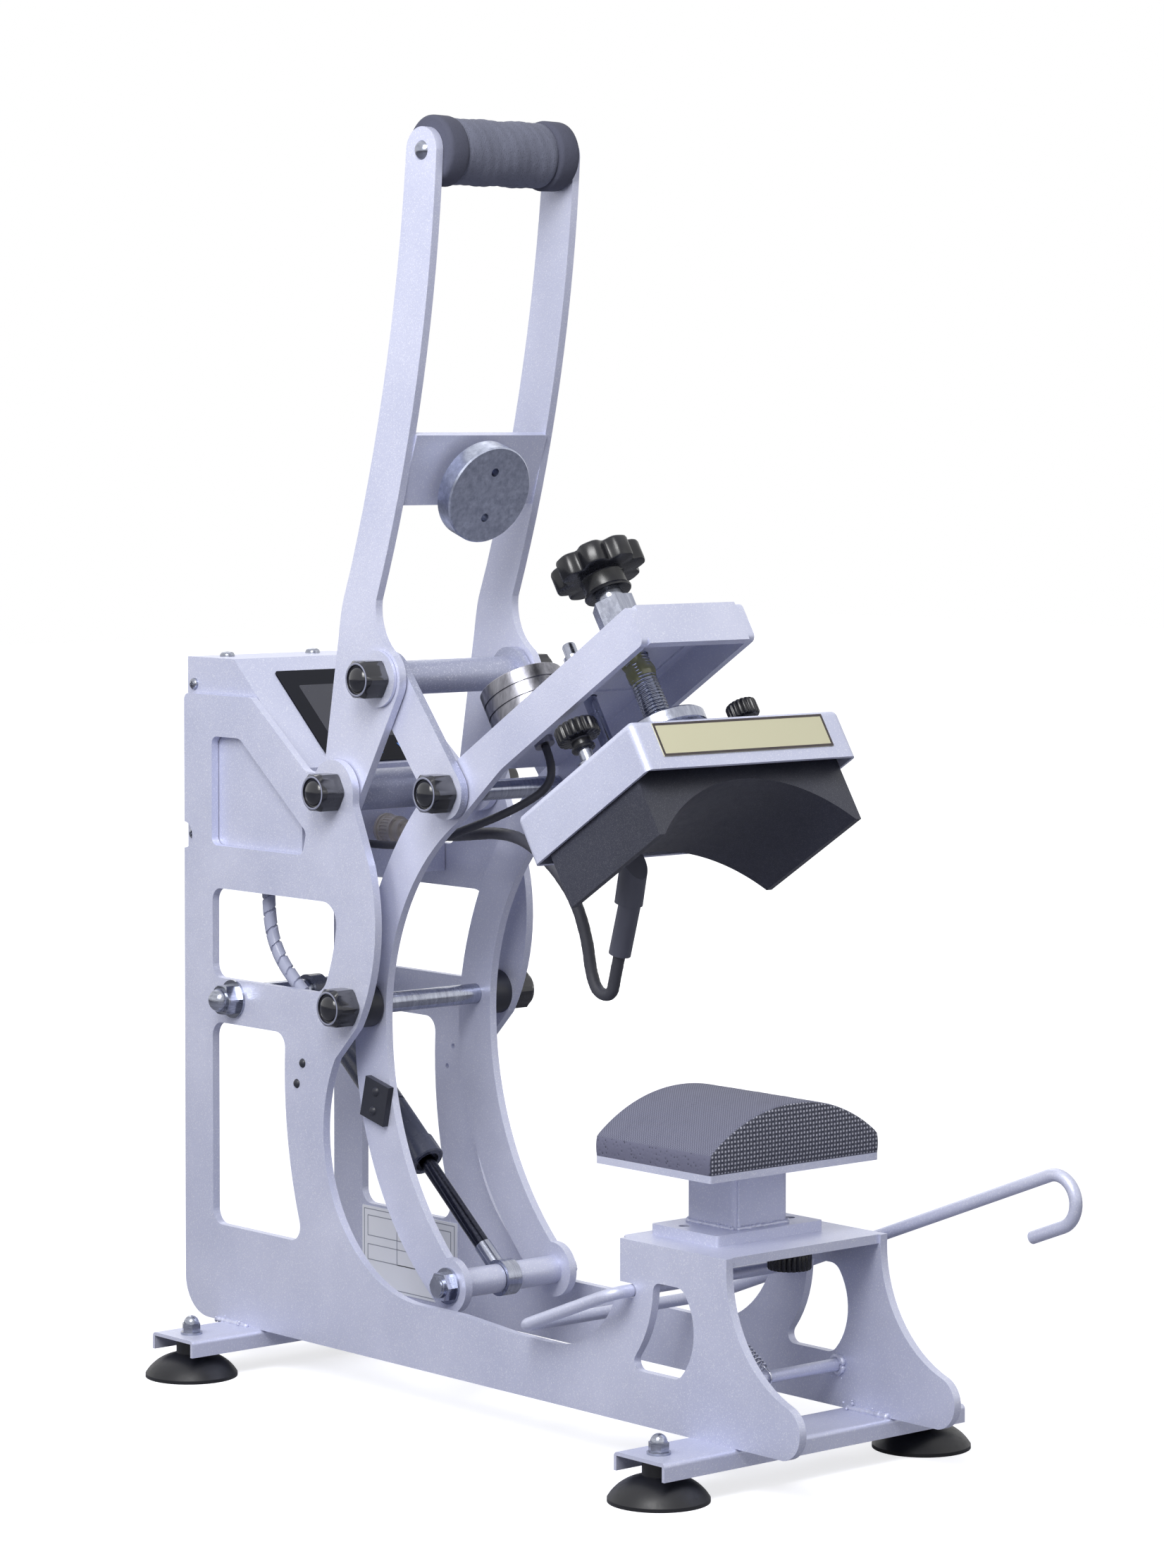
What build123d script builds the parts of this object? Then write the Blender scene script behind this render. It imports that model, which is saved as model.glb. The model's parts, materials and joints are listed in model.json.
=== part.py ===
from build123d import *
from math import atan2, cos, degrees, hypot, pi, radians, sin, sqrt, tan
import os

os.makedirs("parts", exist_ok=True)

# An auto-open cap heat press. X runs to the press's right, -Y to its front, Z up. Millimetres.
# Side views are written as (f, z): f is the distance in front of the main shaft, z the height.

# Sheet metal and the layers across the press
plateThick = 5.0
plateGap = 1.0
frameInner = 55.0
frameOuter = frameInner + plateThick
handleOuter = frameInner - plateGap
handleInner = handleOuter - plateThick
linkOuter = handleInner - plateGap
linkInner = linkOuter - plateThick
armOuter = linkInner - plateGap
armInner = armOuter - plateThick
runningFit = 0.05
softGap = 0.3

# Pivots in the side view
shaftAt = (0.0, 228.0)
handleAt = (-14.0, 353.0)
linkTopAt = (23.0, 420.5)
linkEndAt = (75.0, 357.0)
armEndAt = (71.0, 72.0)
gasRearAt = (-111.0, 222.0)

# Travel from open, which is the rest pose, to closed
handleTravel = 70.0
armTravel = 32.0

# Pins and nuts
shaftRadius = 6.0
capRadius = 12.0
capLength = 14.6

# Base
channelTop = 25.0
channelHeight = 10.0
channelWidth = 40.0
channelWall = 2.0
channelHalf = 112.0
frontChannelAt = 315.0
rearChannelAt = -103.0
footRadius = 27.5
footAcross = 98.0
footNeckRadius = 9.0
footStudRadius = 3.0

# Frame plates
frameRear = -161.0
frameTop = 404.5
frameBottom = channelTop
rearCorner = 23.0
biteAt = (67.0, 152.3)
biteRadius = 90.0
handleBoss = 19.0
tableTop = 125.0
tableRear = 235.0
legRear = 241.0
legFront = 326.2

# Cap clamp lever, bent from rod
leverRodRadius = 3.5
leverAt = (250.0, 97.5)
leverHookAt = (430.0, 167.0)
leverLeft = -74.0
leverRight = 70.0
crossRodAt = (293.0, 48.5)

# Lower platen
platenAt = 270.0
baseHalf = 39.5
baseDepth = 53.5
baseThick = 5.5
baseGap = 0.5
postSide = 40.0
postWall = 2.5
postTop = 164.3
padPlateHalf = 62.6
padPlateDepth = 92.5
padPlateThick = 4.1
padSide = 11.0
padCrown = 33.6

# Heating head, measured with the head level
screwAt = 267.5
channelLow = 288.0
channelHigh = 312.0
armFront = 320.0
housingHalf = 77.6
housingDepth = 111.0
housingLow = 210.0
housingHigh = 240.0
housingWall = 2.0
blockGap = 0.6
blockHalf = housingHalf - housingWall - blockGap
blockDepth = 85.0
blockLow = 177.5
archLip = 4.0
archHalf = blockHalf - archLip
archTop = 207.0
headTravel = 4.0

# Magnet catch
magnetAt = 174.0
magnetRadius = 25.0
magnetTop = 344.0
discRadius = 29.5
discThick = 12.0

# Control box
boxHalf = 54.5
boxRear = -163.0
boxTop = 426.5
boxBottom = 297.0
boxWall = 1.5
slopeTop = (-117.5, 426.5)
slopeFoot = (-50.0, 364.4)

# Limit sensor inside the left frame plate, and its magnet on the left arm plate
sensorScrews = ((-43.0, 190.3), (-48.6, 177.6))
sensorScrewRadius = 1.5
sensorThick = 5.5
magnetBlockAt = (7.5, 172.0)
magnetBlockTilt = 13.5

# Cables
headCableRadius = 3.5
magnetCableRadius = 2.4
loomRadius = 4.0
loomLeadRadius = 2.2

solids = {}


def keep(name, *pieces):
    """One node of one or more separate solids."""
    solids[name] = list(pieces)


# Side view helpers
def side(point):
    return (-point[0], point[1])


def outline(start, *steps):
    """A closed face in the side view. A step is a corner, or a pair (point on the way, end) for an arc."""
    here = start
    edges = []
    for step in steps + (start,):
        if isinstance(step[0], tuple):
            through, end = step
            edges.append(ThreePointArc(side(here), side(through), side(end)))
        else:
            end = step
            if end != here:
                edges.append(Line(side(here), side(end)))
        here = end
    return make_face(edges)


def soften(face, radius, *corners):
    """Rounds the named corners of a side view face."""
    near = [face.vertices().sort_by_distance(Vector(*side(c), 0))[0] for c in corners]
    return fillet(near, radius)


def across(face, left, right):
    """A side view face made solid from x = left to x = right."""
    plane = Plane(origin=(left, 0, 0), x_dir=(0, 1, 0), z_dir=(1, 0, 0))
    return extrude(plane * face, amount=right - left)


def disc(at, radius):
    return Pos(*side(at)) * Circle(radius)


def rod(at, radius, left, right):
    """A round bar along X."""
    return across(disc(at, radius), left, right)


def upright(x, f, radius, low, high):
    """A round bar along Z."""
    return Pos(x, -f, (low + high) / 2) * Cylinder(radius, high - low)


def block(x0, x1, f0, f1, z0, z1):
    """A box from its limits."""
    return Pos((x0 + x1) / 2, -(f0 + f1) / 2, (z0 + z1) / 2) * Box(x1 - x0, f1 - f0, z1 - z0)


def both(part):
    """The part and its mirror image on the other side of the press."""
    return [part, mirror(part, about=Plane.YZ)]


def lift(part):
    """Turns a piece drawn with the head level to its place with the arm open."""
    hinge = Axis((0, -shaftAt[0], shaftAt[1]), (1, 0, 0))
    return part.rotate(hinge, -armTravel)


def lifted(point):
    """The same turn for a point of the side view."""
    c, s = cos(radians(armTravel)), sin(radians(armTravel))
    f, z = point[0] - shaftAt[0], point[1] - shaftAt[1]
    return (shaftAt[0] + f * c - z * s, shaftAt[1] + f * s + z * c)


def openedOf(point):
    """Where a point that the closed handle has stands once the handle is open."""
    c, s = cos(radians(handleTravel)), sin(radians(handleTravel))
    f, z = point[0] - handleAt[0], point[1] - handleAt[1]
    return (handleAt[0] + f * c - z * s, handleAt[1] + f * s + z * c)


def along(start, end, distance, offset=0.0):
    """A point at a distance from start towards end, and offset to its left."""
    length = hypot(end[0] - start[0], end[1] - start[1])
    u = ((end[0] - start[0]) / length, (end[1] - start[1]) / length)
    return (start[0] + u[0] * distance - u[1] * offset, start[1] + u[1] * distance + u[0] * offset)


def hexBar(at, flats, left, right):
    """A hexagonal bar along X."""
    return across(Pos(*side(at)) * RegularPolygon(flats / 2, 6, major_radius=False), left, right)


def capNut(at, seat):
    """A black moulded cap nut on the right-hand end of a pin: six flats, a chamfer and a low dome."""
    flats = 2 * capRadius - 2.4
    body = hexBar(at, flats, seat, seat + capLength - 2.6)
    turned = rod(at, capRadius, seat, seat + capLength - 2.6)
    turned = chamfer(turned.edges().sort_by(Axis.X)[-1], 1.6)
    body = body & turned
    ring = rod(at, capRadius - 3.2, seat + capLength - 2.6, seat + capLength - 1.2)
    dome = Pos(seat + capLength - 1.2, -at[0], at[1]) * scale(Sphere(capRadius - 5.2), by=(0.25, 1, 1))
    dome = dome & rod(at, capRadius, seat + capLength - 1.2, seat + capLength + 6)
    return body + ring + dome


def acornNut(at, seat, flats=14.0):
    """A bright acorn nut on the right-hand end of a pin."""
    hexPart = hexBar(at, flats, seat, seat + flats * 0.5)
    round_ = rod(at, flats * 0.56, seat, seat + flats * 0.5)
    hexPart = hexPart & chamfer(round_.edges().group_by(Axis.X)[-1], 0.8)
    dome = Pos(seat + flats * 0.5, -at[0], at[1]) * Sphere(flats * 0.42)
    dome = dome & rod(at, flats, seat + flats * 0.5, seat + flats)
    return hexPart + dome


def lockNut(at, seat, flats, flange):
    """A flanged lock nut with its collar, on the right-hand end of a pin."""
    base = rod(at, flange, seat, seat + 1.5)
    body = hexBar(at, flats, seat + 1.5, seat + 7.0)
    collar = rod(at, flats * 0.42, seat + 7.0, seat + 8.6)
    return base + body + collar


# Frame side plates
def framePlate():
    rear = frameRear
    bite = (biteAt[0] - biteRadius, biteAt[1])
    biteEndZ = 196.0
    biteEnd = (biteAt[0] - sqrt(biteRadius ** 2 - (biteEndZ - biteAt[1]) ** 2), biteEndZ)
    trough = (biteAt[0], biteAt[1] - biteRadius)
    a = handleAt
    legCurveAt = (396.0, 119.2)
    legCurve = 70.0
    notch = leverRodRadius + 0.5
    notchTop = leverAt[1] + notch
    notchLow = leverAt[1] - notch
    screwNotch = 8.0
    screwNotchAt = 318.0
    face = outline(
        (rear, frameBottom),
        (370.0, frameBottom),
        ((382.5, 37.5), (374.0, 52.8)),
        ((legCurveAt[0] - legCurve * 0.75, legCurveAt[1] - legCurve * 0.6614), (legFront, tableTop)),
        (legRear, tableTop),
        (legRear, notchTop),
        (leverAt[0], notchTop),
        ((leverAt[0] + notch, leverAt[1]), (leverAt[0], notchLow)),
        (legRear - 3.0, notchLow),
        ((221.0, 71.0), (190.0, 58.6)),
        (150.0, 59.0),
        (105.0, trough[1]),
        trough,
        (bite, biteEnd),
        (8.5, 216.0),
        ((25.5, 262.0), (20.5, 312.0)),
        (a[0] + handleBoss, a[1] - 6.0),
        ((a[0] + handleBoss * 0.5, a[1] + handleBoss * 0.866),
         (a[0] - handleBoss * 0.85, a[1] + handleBoss * 0.527)),
        (a[0] - 26.0, a[1] + 10.5),
        (-93.7, frameTop),
        (rear, frameTop),
        (rear, screwNotchAt + screwNotch),
        ((rear + screwNotch, screwNotchAt), (rear, screwNotchAt - screwNotch)),
    )
    face = soften(face, rearCorner, (rear, frameBottom))
    face = soften(face, 4.0, (rear, frameTop), (-93.7, frameTop))
    face = soften(face, 12.0, (a[0] - 26.0, a[1] + 10.5))
    face = soften(face, 10.0, (8.5, 216.0))
    face = soften(face, 8.0, (a[0] + handleBoss, a[1] - 6.0))

    pocket = outline((-132.9, 379.5), (-104.7, 379.5), (-39.0, 327.5), (-43.0, 313.5), (-132.9, 313.5))
    pocket = soften(pocket, 5.0, (-132.9, 379.5), (-132.9, 313.5), (-43.0, 313.5), (-39.0, 327.5))
    pocket = soften(pocket, 10.0, (-104.7, 379.5))
    upper = outline((-132.3, 287.8), (-9.0, 287.8), ((-12.5, 262.0), (-23.4, 233.5)), (-132.3, 233.5))
    upper = soften(upper, 8.0, (-132.3, 287.8), (-132.3, 233.5))
    upper = soften(upper, 13.0, (-9.0, 287.8), (-23.4, 233.5))
    lower = outline((-132.5, 206.5), (-59.5, 206.5), ((-58.5, 150.0), (-42.0, 83.5)), (-132.5, 83.5))
    lower = soften(lower, 9.0, (-132.5, 206.5), (-59.5, 206.5), (-132.5, 83.5), (-42.0, 83.5))
    leg = outline(
        (268.0, 104.5), (291.0, 104.5), ((300.5, 82.0), (288.0, 54.5)), (246.0, 54.5),
        ((262.0, 76.0), (268.0, 104.5)))
    leg = soften(leg, 5.0, (268.0, 104.5), (246.0, 54.5))
    leg = soften(leg, 9.0, (291.0, 104.5), (288.0, 54.5))
    face = face - pocket - upper - lower - leg
    for at in (shaftAt, handleAt, gasRearAt):
        face = face - disc(at, shaftRadius + runningFit)
    for at in sensorScrews:
        face = face - disc(at, sensorScrewRadius + runningFit)
    return across(face, frameInner, frameOuter)


rightFrame = framePlate()
leftFrame = mirror(rightFrame, about=Plane.YZ)
keep("side_plate_right", rightFrame)
keep("side_plate_left", leftFrame)


# Channels across the bottom, open below
def channel(at):
    outer = block(-channelHalf, channelHalf, at - channelWidth / 2, at + channelWidth / 2,
                  channelTop - channelHeight, channelTop)
    outer = fillet(outer.edges().filter_by(Axis.X).group_by(Axis.Z)[-1], channelWall + 0.5)
    inner = block(-channelHalf, channelHalf, at - channelWidth / 2 + channelWall,
                  at + channelWidth / 2 - channelWall, channelTop - channelHeight, channelTop - channelWall)
    body = outer - inner
    for x in (-footAcross, footAcross):
        body = body - upright(x, at, footStudRadius + runningFit, channelTop - channelHeight, channelTop)
    return body


crossRod = rod(crossRodAt, leverRodRadius, -frameInner, frameInner)
keep("base_cross_members", channel(frontChannelAt), channel(rearChannelAt), crossRod)


def foot(x, at):
    """A rubber foot: a wide flat skirt, a dome and a neck that stands inside the channel."""
    neckTop = channelTop - channelWall
    profile = Polyline((0, 0), (footRadius, 0), (footRadius, 2.0))
    crown = ThreePointArc((footRadius, 2.0), (footRadius - 6.5, 9.0), (footNeckRadius + 5.0, 12.5))
    rest = Polyline((footNeckRadius + 5.0, 12.5), (footNeckRadius, 14.0), (footNeckRadius, neckTop),
                    (0, neckTop), (0, 0))
    body = revolve(Plane.XZ * make_face(profile.edges() + crown.edges() + rest.edges()), Axis.Z)
    body = body - Pos(0, 0, neckTop) * Cylinder(footStudRadius + runningFit, 2 * (neckTop - 6.0))
    return Pos(x, -at, 0) * body


def footNut(x, at):
    """The foot's stud and the acorn nut and washer on top of the channel."""
    stud = Cylinder(footStudRadius, channelTop + 6.0 - 7.0, align=(Align.CENTER, Align.CENTER, Align.MIN))
    washer = Pos(0, 0, channelTop) * Cylinder(6.5, 1.4, align=(Align.CENTER, Align.CENTER, Align.MIN))
    nut = extrude(Plane.XY.offset(channelTop + 1.4) * RegularPolygon(5.0, 6, major_radius=False), amount=5.0)
    dome = Pos(0, 0, channelTop + 6.4) * Sphere(4.6)
    dome = dome & Pos(0, 0, channelTop + 6.4) * Cylinder(6, 8, align=(Align.CENTER, Align.CENTER, Align.MIN))
    return Pos(x, -at, 0) * (Pos(0, 0, 7.0) * stud + washer + nut + dome)


corners = [(x, at) for at in (frontChannelAt, rearChannelAt) for x in (-footAcross, footAcross)]
keep("rubber_feet", *[foot(x, at) for x, at in corners])
keep("foot_nuts", *[footNut(x, at) for x, at in corners])

# Table between the legs, with a rounded rear edge and the slot for the clamp stud
clampAcross = 31.0
clampOffset = 9.0
clampStud = 3.0
slotHalf = 3.6
slotRear = 240.0
slotFront = 290.0
table = block(-frameInner, frameInner, tableRear, legFront - 1.8, tableTop - plateThick, tableTop)
table = fillet(table.edges().filter_by(Axis.Z).group_by(Axis.Y)[-1], 6.0)
for x in (-clampAcross, clampAcross):
    slot = Rot(0, 0, 90) * SlotOverall(slotFront - slotRear, 2 * slotHalf)
    slot = Pos(x, -(slotRear + slotFront) / 2) * slot
    table = table - extrude(Plane.XY.offset(tableTop - plateThick) * slot, amount=plateThick)
keep("table_plate", table)

# Main shaft and handle pivot, one bar each from plate to plate, with their cap nuts
shaftReach = frameOuter + capLength - 4.0


def boredCapNut(at, seat):
    return capNut(at, seat) - rod(at, shaftRadius + runningFit, seat - 1, shaftReach + 0.2)


keep("pivot_shafts", *[rod(at, shaftRadius, -shaftReach, shaftReach) for at in (shaftAt, handleAt)])
capNuts = []
for at in (shaftAt, handleAt):
    capNuts += both(boredCapNut(at, frameOuter))
keep("pivot_cap_nuts", *capNuts)
bushRadius = 13.0
bush = rod(shaftAt, bushRadius, armOuter + softGap, frameInner)
bush = bush - rod(shaftAt, shaftRadius + runningFit, 0, frameOuter)
bush = fillet(bush.edges().filter_by(GeomType.CIRCLE).group_by(Axis.X)[0].sort_by(SortBy.RADIUS)[-1:], 1.5)
keep("shaft_bushings", *both(bush))

# Gas spring's rear anchor: a bar through both plates, two spacer tubes, washers and acorn nuts
gasEyeHalf = 5.0
anchorSpacerRadius = 8.0
anchorWasher = 1.6
anchorReach = frameOuter + anchorWasher + 6.0
anchorBar = rod(gasRearAt, shaftRadius, -anchorReach, anchorReach)
anchorNut = acornNut(gasRearAt, frameOuter + anchorWasher, 17.0)
anchorNut = anchorNut + rod(gasRearAt, 11.5, frameOuter, frameOuter + anchorWasher)
anchorNut = anchorNut - rod(gasRearAt, shaftRadius + runningFit, 0, anchorReach + 0.2)
anchorSpacer = rod(gasRearAt, anchorSpacerRadius, gasEyeHalf + softGap, frameInner)
anchorSpacer = anchorSpacer - rod(gasRearAt, shaftRadius + runningFit, 0, frameOuter)
keep("gas_anchor", anchorBar, *both(anchorNut), *both(anchorSpacer))

# Latch spring: an extension spring drawn as one wire, from the lever's lug to the cross rod
springWire = 0.6
springRadius = 4.6
springQuarters = 57
springHook = 2.8
springLead = 6.0
lugDrop = 21.5
lugAt = (leverAt[0], leverAt[1] - lugDrop)
springLength = hypot(crossRodAt[0] - lugAt[0], crossRodAt[1] - lugAt[1])
rodHook = leverRodRadius + springWire + softGap
springLow = springHook + springLead
springHigh = springLength - springLead
springPitch = (springHigh - springLow) / (springQuarters / 4)


def biarc(p0, t0, p1, t1):
    """Two arcs that leave p0 along t0 and reach p1 along t1."""
    v = p1 - p0
    t = t0 + t1
    k = 2 * (1 - t0.dot(t1))
    d = (-v.dot(t) + sqrt(v.dot(t) ** 2 + k * v.dot(v))) / k
    joint = (p0 + p1 + (t0 - t1) * d) * 0.5
    middle = ((p1 - t1 * d) - (p0 + t0 * d)).normalized()
    return [TangentArc(p0, joint, tangent=t0), TangentArc(joint, p1, tangent=middle)]


def coilSpot(angle):
    high = springLow + springPitch * angle / (2 * pi)
    return Vector(springRadius * cos(angle), springRadius * sin(angle), high)


def coilWay(angle):
    return Vector(-sin(angle), cos(angle), springPitch / (2 * pi * springRadius)).normalized()


def latchSpring():
    """A coil with a hook at each end: one hook goes through the lug, the other over the cross rod."""
    up = Vector(0, 0, 1)
    width = 2 * springWire
    hookTip = Vector(-springHook, 0, springHook)
    hookTop = Vector(springHook, 0, springHook)
    leadTop = Vector(springHook, 0, springHook + 2 * width)
    rodFoot = Vector(0, rodHook, springLength - width)
    rodTop = Vector(0, rodHook, springLength)
    rodTip = Vector(0, -rodHook, springLength)
    end = springQuarters * pi / 2
    path = [
        Line(hookTip + up * width, hookTip),
        ThreePointArc(hookTip, Vector(0, 0, 0), hookTop),
        Line(hookTop, leadTop),
    ]
    path += biarc(leadTop, up, coilSpot(0), coilWay(0))
    for n in range(springQuarters):
        a, b = n * pi / 2, (n + 1) * pi / 2
        path += biarc(coilSpot(a), coilWay(a), coilSpot(b), coilWay(b))
    path += biarc(coilSpot(end), coilWay(end), rodFoot, up)
    path += [Line(rodFoot, rodTop), ThreePointArc(rodTop, Vector(0, 0, springLength + rodHook), rodTip)]
    path += [Line(rodTip, rodTip - up * width)]
    wire = Wire([piece.edge() for piece in path])
    body = sweep(Plane(wire @ 0, z_dir=wire % 0) * Circle(springWire), path=wire)
    axis = Vector(0, -(crossRodAt[0] - lugAt[0]), crossRodAt[1] - lugAt[1])
    seat = Plane(origin=(0, -lugAt[0], lugAt[1]), x_dir=(1, 0, 0), z_dir=axis)
    print("latch spring least gap to itself", round(springPitch - width, 2))
    return seat.location * body


keep("latch_spring", latchSpring())

# Control box: a folded shell open at the rear, with the rear cover, screen, connector and inlet
boxFace = outline((boxRear, boxTop), slopeTop, slopeFoot, (slopeFoot[0], boxBottom), (boxRear, boxBottom))
cavityFace = outline(
    (boxRear, boxTop - boxWall),
    (slopeTop[0] - boxWall, slopeTop[1] - boxWall),
    (slopeFoot[0] - boxWall, slopeFoot[1] - boxWall),
    (slopeFoot[0] - boxWall, boxBottom + boxWall),
    (boxRear, boxBottom + boxWall),
)
shell = across(boxFace, -boxHalf, boxHalf) - across(cavityFace, -boxHalf + boxWall, boxHalf - boxWall)

slopeMid = ((slopeFoot[0] + slopeTop[0]) / 2, (slopeFoot[1] + slopeTop[1]) / 2)
slopeOut = Vector(0, -(slopeTop[1] - slopeFoot[1]), slopeFoot[0] - slopeTop[0]).normalized()
slopePlane = Plane(origin=(0, -slopeMid[0], slopeMid[1]), x_dir=(1, 0, 0), z_dir=slopeOut)
screenHalf = 31.0
screenLong = 66.0
screenThick = 2.0
screenProud = 0.8
screenGap = 0.2
screenHole = RectangleRounded(2 * (screenHalf + screenGap), screenLong + 2 * screenGap, 3.0)
shell = shell - extrude(slopePlane.offset(-2 * boxWall) * screenHole, amount=4 * boxWall)
screenFace = RectangleRounded(2 * screenHalf, screenLong, 3.0)
screen = extrude(slopePlane.offset(screenProud - screenThick) * screenFace, amount=screenThick)

boxFront = slopeFoot[0]
connectorAt = (8.6, 325.0)
connectorRadius = 8.5
magnetExitAt = (-12.0, 318.0)


def forward(place, radius, f0, f1):
    """A round bar along the press at (x, z), from f0 to f1 in front of the shaft."""
    return Pos(place[0], -(f0 + f1) / 2, place[1]) * Rot(90, 0, 0) * Cylinder(radius, f1 - f0)


throat = connectorRadius - 2.0
shell = shell - forward(connectorAt, throat + runningFit, boxFront - 5, boxFront + 1)
shell = shell - forward(magnetExitAt, magnetCableRadius + runningFit, boxFront - 5, boxFront + 1)

# Nickel connector: thread through the panel, flange, knurled ring, plug body and cable nose
flangeThick = 2.0
ringLong = 11.0
plugLong = 6.0
noseLong = 5.0
ringFront = boxFront + flangeThick + ringLong
connectorNose = ringFront + plugLong + noseLong
ring = forward(connectorAt, connectorRadius, boxFront + flangeThick, ringFront)
grooves = 24
grooveRadius = 0.7
ringAxis = Axis((connectorAt[0], 0, connectorAt[1]), (0, 1, 0))
grooveAt = (connectorAt[0] + connectorRadius, connectorAt[1])
groove = forward(grooveAt, grooveRadius, boxFront + 4, ringFront - 2)
for n in range(grooves):
    ring = ring - groove.rotate(ringAxis, 360 * n / grooves)
connector = forward(connectorAt, throat, boxFront - 8, boxFront)
connector = connector + forward(connectorAt, connectorRadius + 1.0, boxFront, boxFront + flangeThick) + ring
connector = connector + forward(connectorAt, connectorRadius - 1.8, ringFront, ringFront + plugLong)
connector = connector + forward(connectorAt, headCableRadius + 1.2, ringFront + plugLong, connectorNose)
keep("box_connector", connector)

# Rear cover with vent slots, screws and the mains inlet
coverThick = 1.5
coverBack = boxRear - coverThick
cover = block(-boxHalf, boxHalf, coverBack, boxRear, boxBottom, boxTop)
inletAt = (-26.0, 330.0)
inletHalf = 13.5
inletHigh = 10.0
inletFit = 0.2
inletDeep = 16.0
flangeWide, flangeTall, flangeProud = 20.0, 13.0, 2.5
socketWide, socketTall = 11.5, 8.0
bladeHalf = 1.0
cover = cover - block(
    inletAt[0] - inletHalf - inletFit, inletAt[0] + inletHalf + inletFit, coverBack, boxRear,
    inletAt[1] - inletHigh - inletFit, inletAt[1] + inletHigh + inletFit)
ventSlots = 6
ventPitch = 7.0
ventHigh = 3.0
ventFrom, ventTo, ventLow = 10.0, 42.0, 318.0
for n in range(ventSlots):
    low = ventLow + ventPitch * n
    cover = cover - block(ventFrom, ventTo, coverBack, boxRear, low, low + ventHigh)
inlet = block(inletAt[0] - inletHalf, inletAt[0] + inletHalf, coverBack, boxRear + inletDeep,
              inletAt[1] - inletHigh, inletAt[1] + inletHigh)
inletFlange = block(inletAt[0] - flangeWide, inletAt[0] + flangeWide, coverBack - flangeProud, coverBack,
                    inletAt[1] - flangeTall, inletAt[1] + flangeTall)
inlet = inlet + fillet(inletFlange.edges().filter_by(Axis.Y), 4.0)
inlet = inlet - block(inletAt[0] - socketWide, inletAt[0] + socketWide, coverBack - 2 * flangeProud,
                      boxRear + inletDeep - 3, inletAt[1] - socketTall, inletAt[1] + socketTall)
for x, z in ((0, 3.5), (-6, -1.5), (6, -1.5)):
    blade = block(-bladeHalf, bladeHalf, boxRear, boxRear + inletDeep - 2, -2 * bladeHalf, 2 * bladeHalf)
    inlet = inlet + Pos(inletAt[0] + x, 0, inletAt[1] + z) * blade
keep("power_inlet", inlet)


def screwHead(place, radius, high):
    """A domed screw head that stands on the given plane."""
    ball = (radius ** 2 + high ** 2) / (2 * high)
    dome = Pos(0, 0, high - ball) * Sphere(ball)
    dome = dome & Cylinder(radius, 2 * high, align=(Align.CENTER, Align.CENTER, Align.MIN))
    return place.location * dome


coverScrews = []
for x in (6.5 - boxHalf, boxHalf - 6.5):
    for z in (boxBottom + 7.0, boxTop - 7.0):
        seat = Plane(origin=(x, -coverBack, z), x_dir=(1, 0, 0), z_dir=(0, 1, 0))
        coverScrews.append(screwHead(seat, 3.0, 2.0))
for x in (-40.0, 8.0):
    seat = Plane(origin=(x, -(boxRear + 9.0), boxTop), x_dir=(1, 0, 0), z_dir=(0, 0, 1))
    coverScrews.append(screwHead(seat, 4.0, 2.4))
keep("box_screws", *coverScrews)
keep("box_rear_cover", cover)
keep("box_shell", shell)
keep("display_panel", screen)
boardAt = boxRear + 30.0
board = block(-38.0, 38.0, boardAt, boardAt + 1.6, boxBottom + boxWall, boxTop - 22.0)
board = board + block(-30.0, -8.0, boardAt + 1.6, boardAt + 17.0, boxBottom + 12.0, boxBottom + 34.0)
board = board + block(2.0, 26.0, boardAt + 1.6, boardAt + 20.0, boxBottom + 46.0, boxBottom + 74.0)
keep("controller_board", board)


# Cables: straight runs joined by arcs as large as the runs allow
def tubeAlong(path, radius):
    return sweep(Plane(path @ 0, z_dir=path % 0) * Circle(radius), path=path)


def route(name, points):
    """The line along the points, whose corner radii it prints."""
    radii = []
    for before, here, after in zip(points, points[1:], points[2:]):
        a, b = here - before, after - here
        turn = radians(a.get_angle(b))
        radii.append(0.45 * min(a.length, b.length) / tan(turn / 2))
    path = FilletPolyline(*points, radius=radii)
    print(name, "radii", [round(r, 1) for r in radii], "length", round(path.length, 1))
    return path


def cable(name, radius, points):
    return tubeAlong(route(name, points), radius)


def spot(x, f, z):
    return Vector(x, -f, z)


sensorAt = ((sensorScrews[0][0] + sensorScrews[1][0]) / 2, (sensorScrews[0][1] + sensorScrews[1][1]) / 2)
sensorLean = atan2(sensorScrews[0][0] - sensorScrews[1][0], sensorScrews[0][1] - sensorScrews[1][1])
sensorLong = 34.0
sensorWide = 12.0
sensor = Pos(-frameInner + sensorThick / 2, -sensorAt[0], sensorAt[1]) * Rot(degrees(sensorLean), 0, 0) * Box(
    sensorThick, sensorWide, sensorLong)
for at in sensorScrews:
    seat = Plane(origin=(-frameOuter, -at[0], at[1]), x_dir=(0, 1, 0), z_dir=(-1, 0, 0))
    sensor = sensor + rod(at, sensorScrewRadius, -frameOuter, -frameInner + 1) + screwHead(seat, 2.8, 1.8)
keep("reed_sensor", sensor)

loomX = -48.0
sensorMiddle = -frameInner + sensorThick / 2
loomEnd = (sensorAt[0] + sensorLong / 2 * sin(sensorLean), sensorAt[1] + sensorLong / 2 * cos(sensorLean))
loomPoints = [
    spot(loomX, -92.0, boxBottom),
    spot(loomX, -92.0, 272.0),
    spot(loomX + 1.0, -84.0, 250.0),
    spot(loomX, -62.0, 233.0),
    spot(loomX - 2.0, -44.0, 224.0),
    spot(sensorMiddle, *along(loomEnd, sensorAt, -13.0)),
    spot(sensorMiddle, *loomEnd),
]
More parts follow.
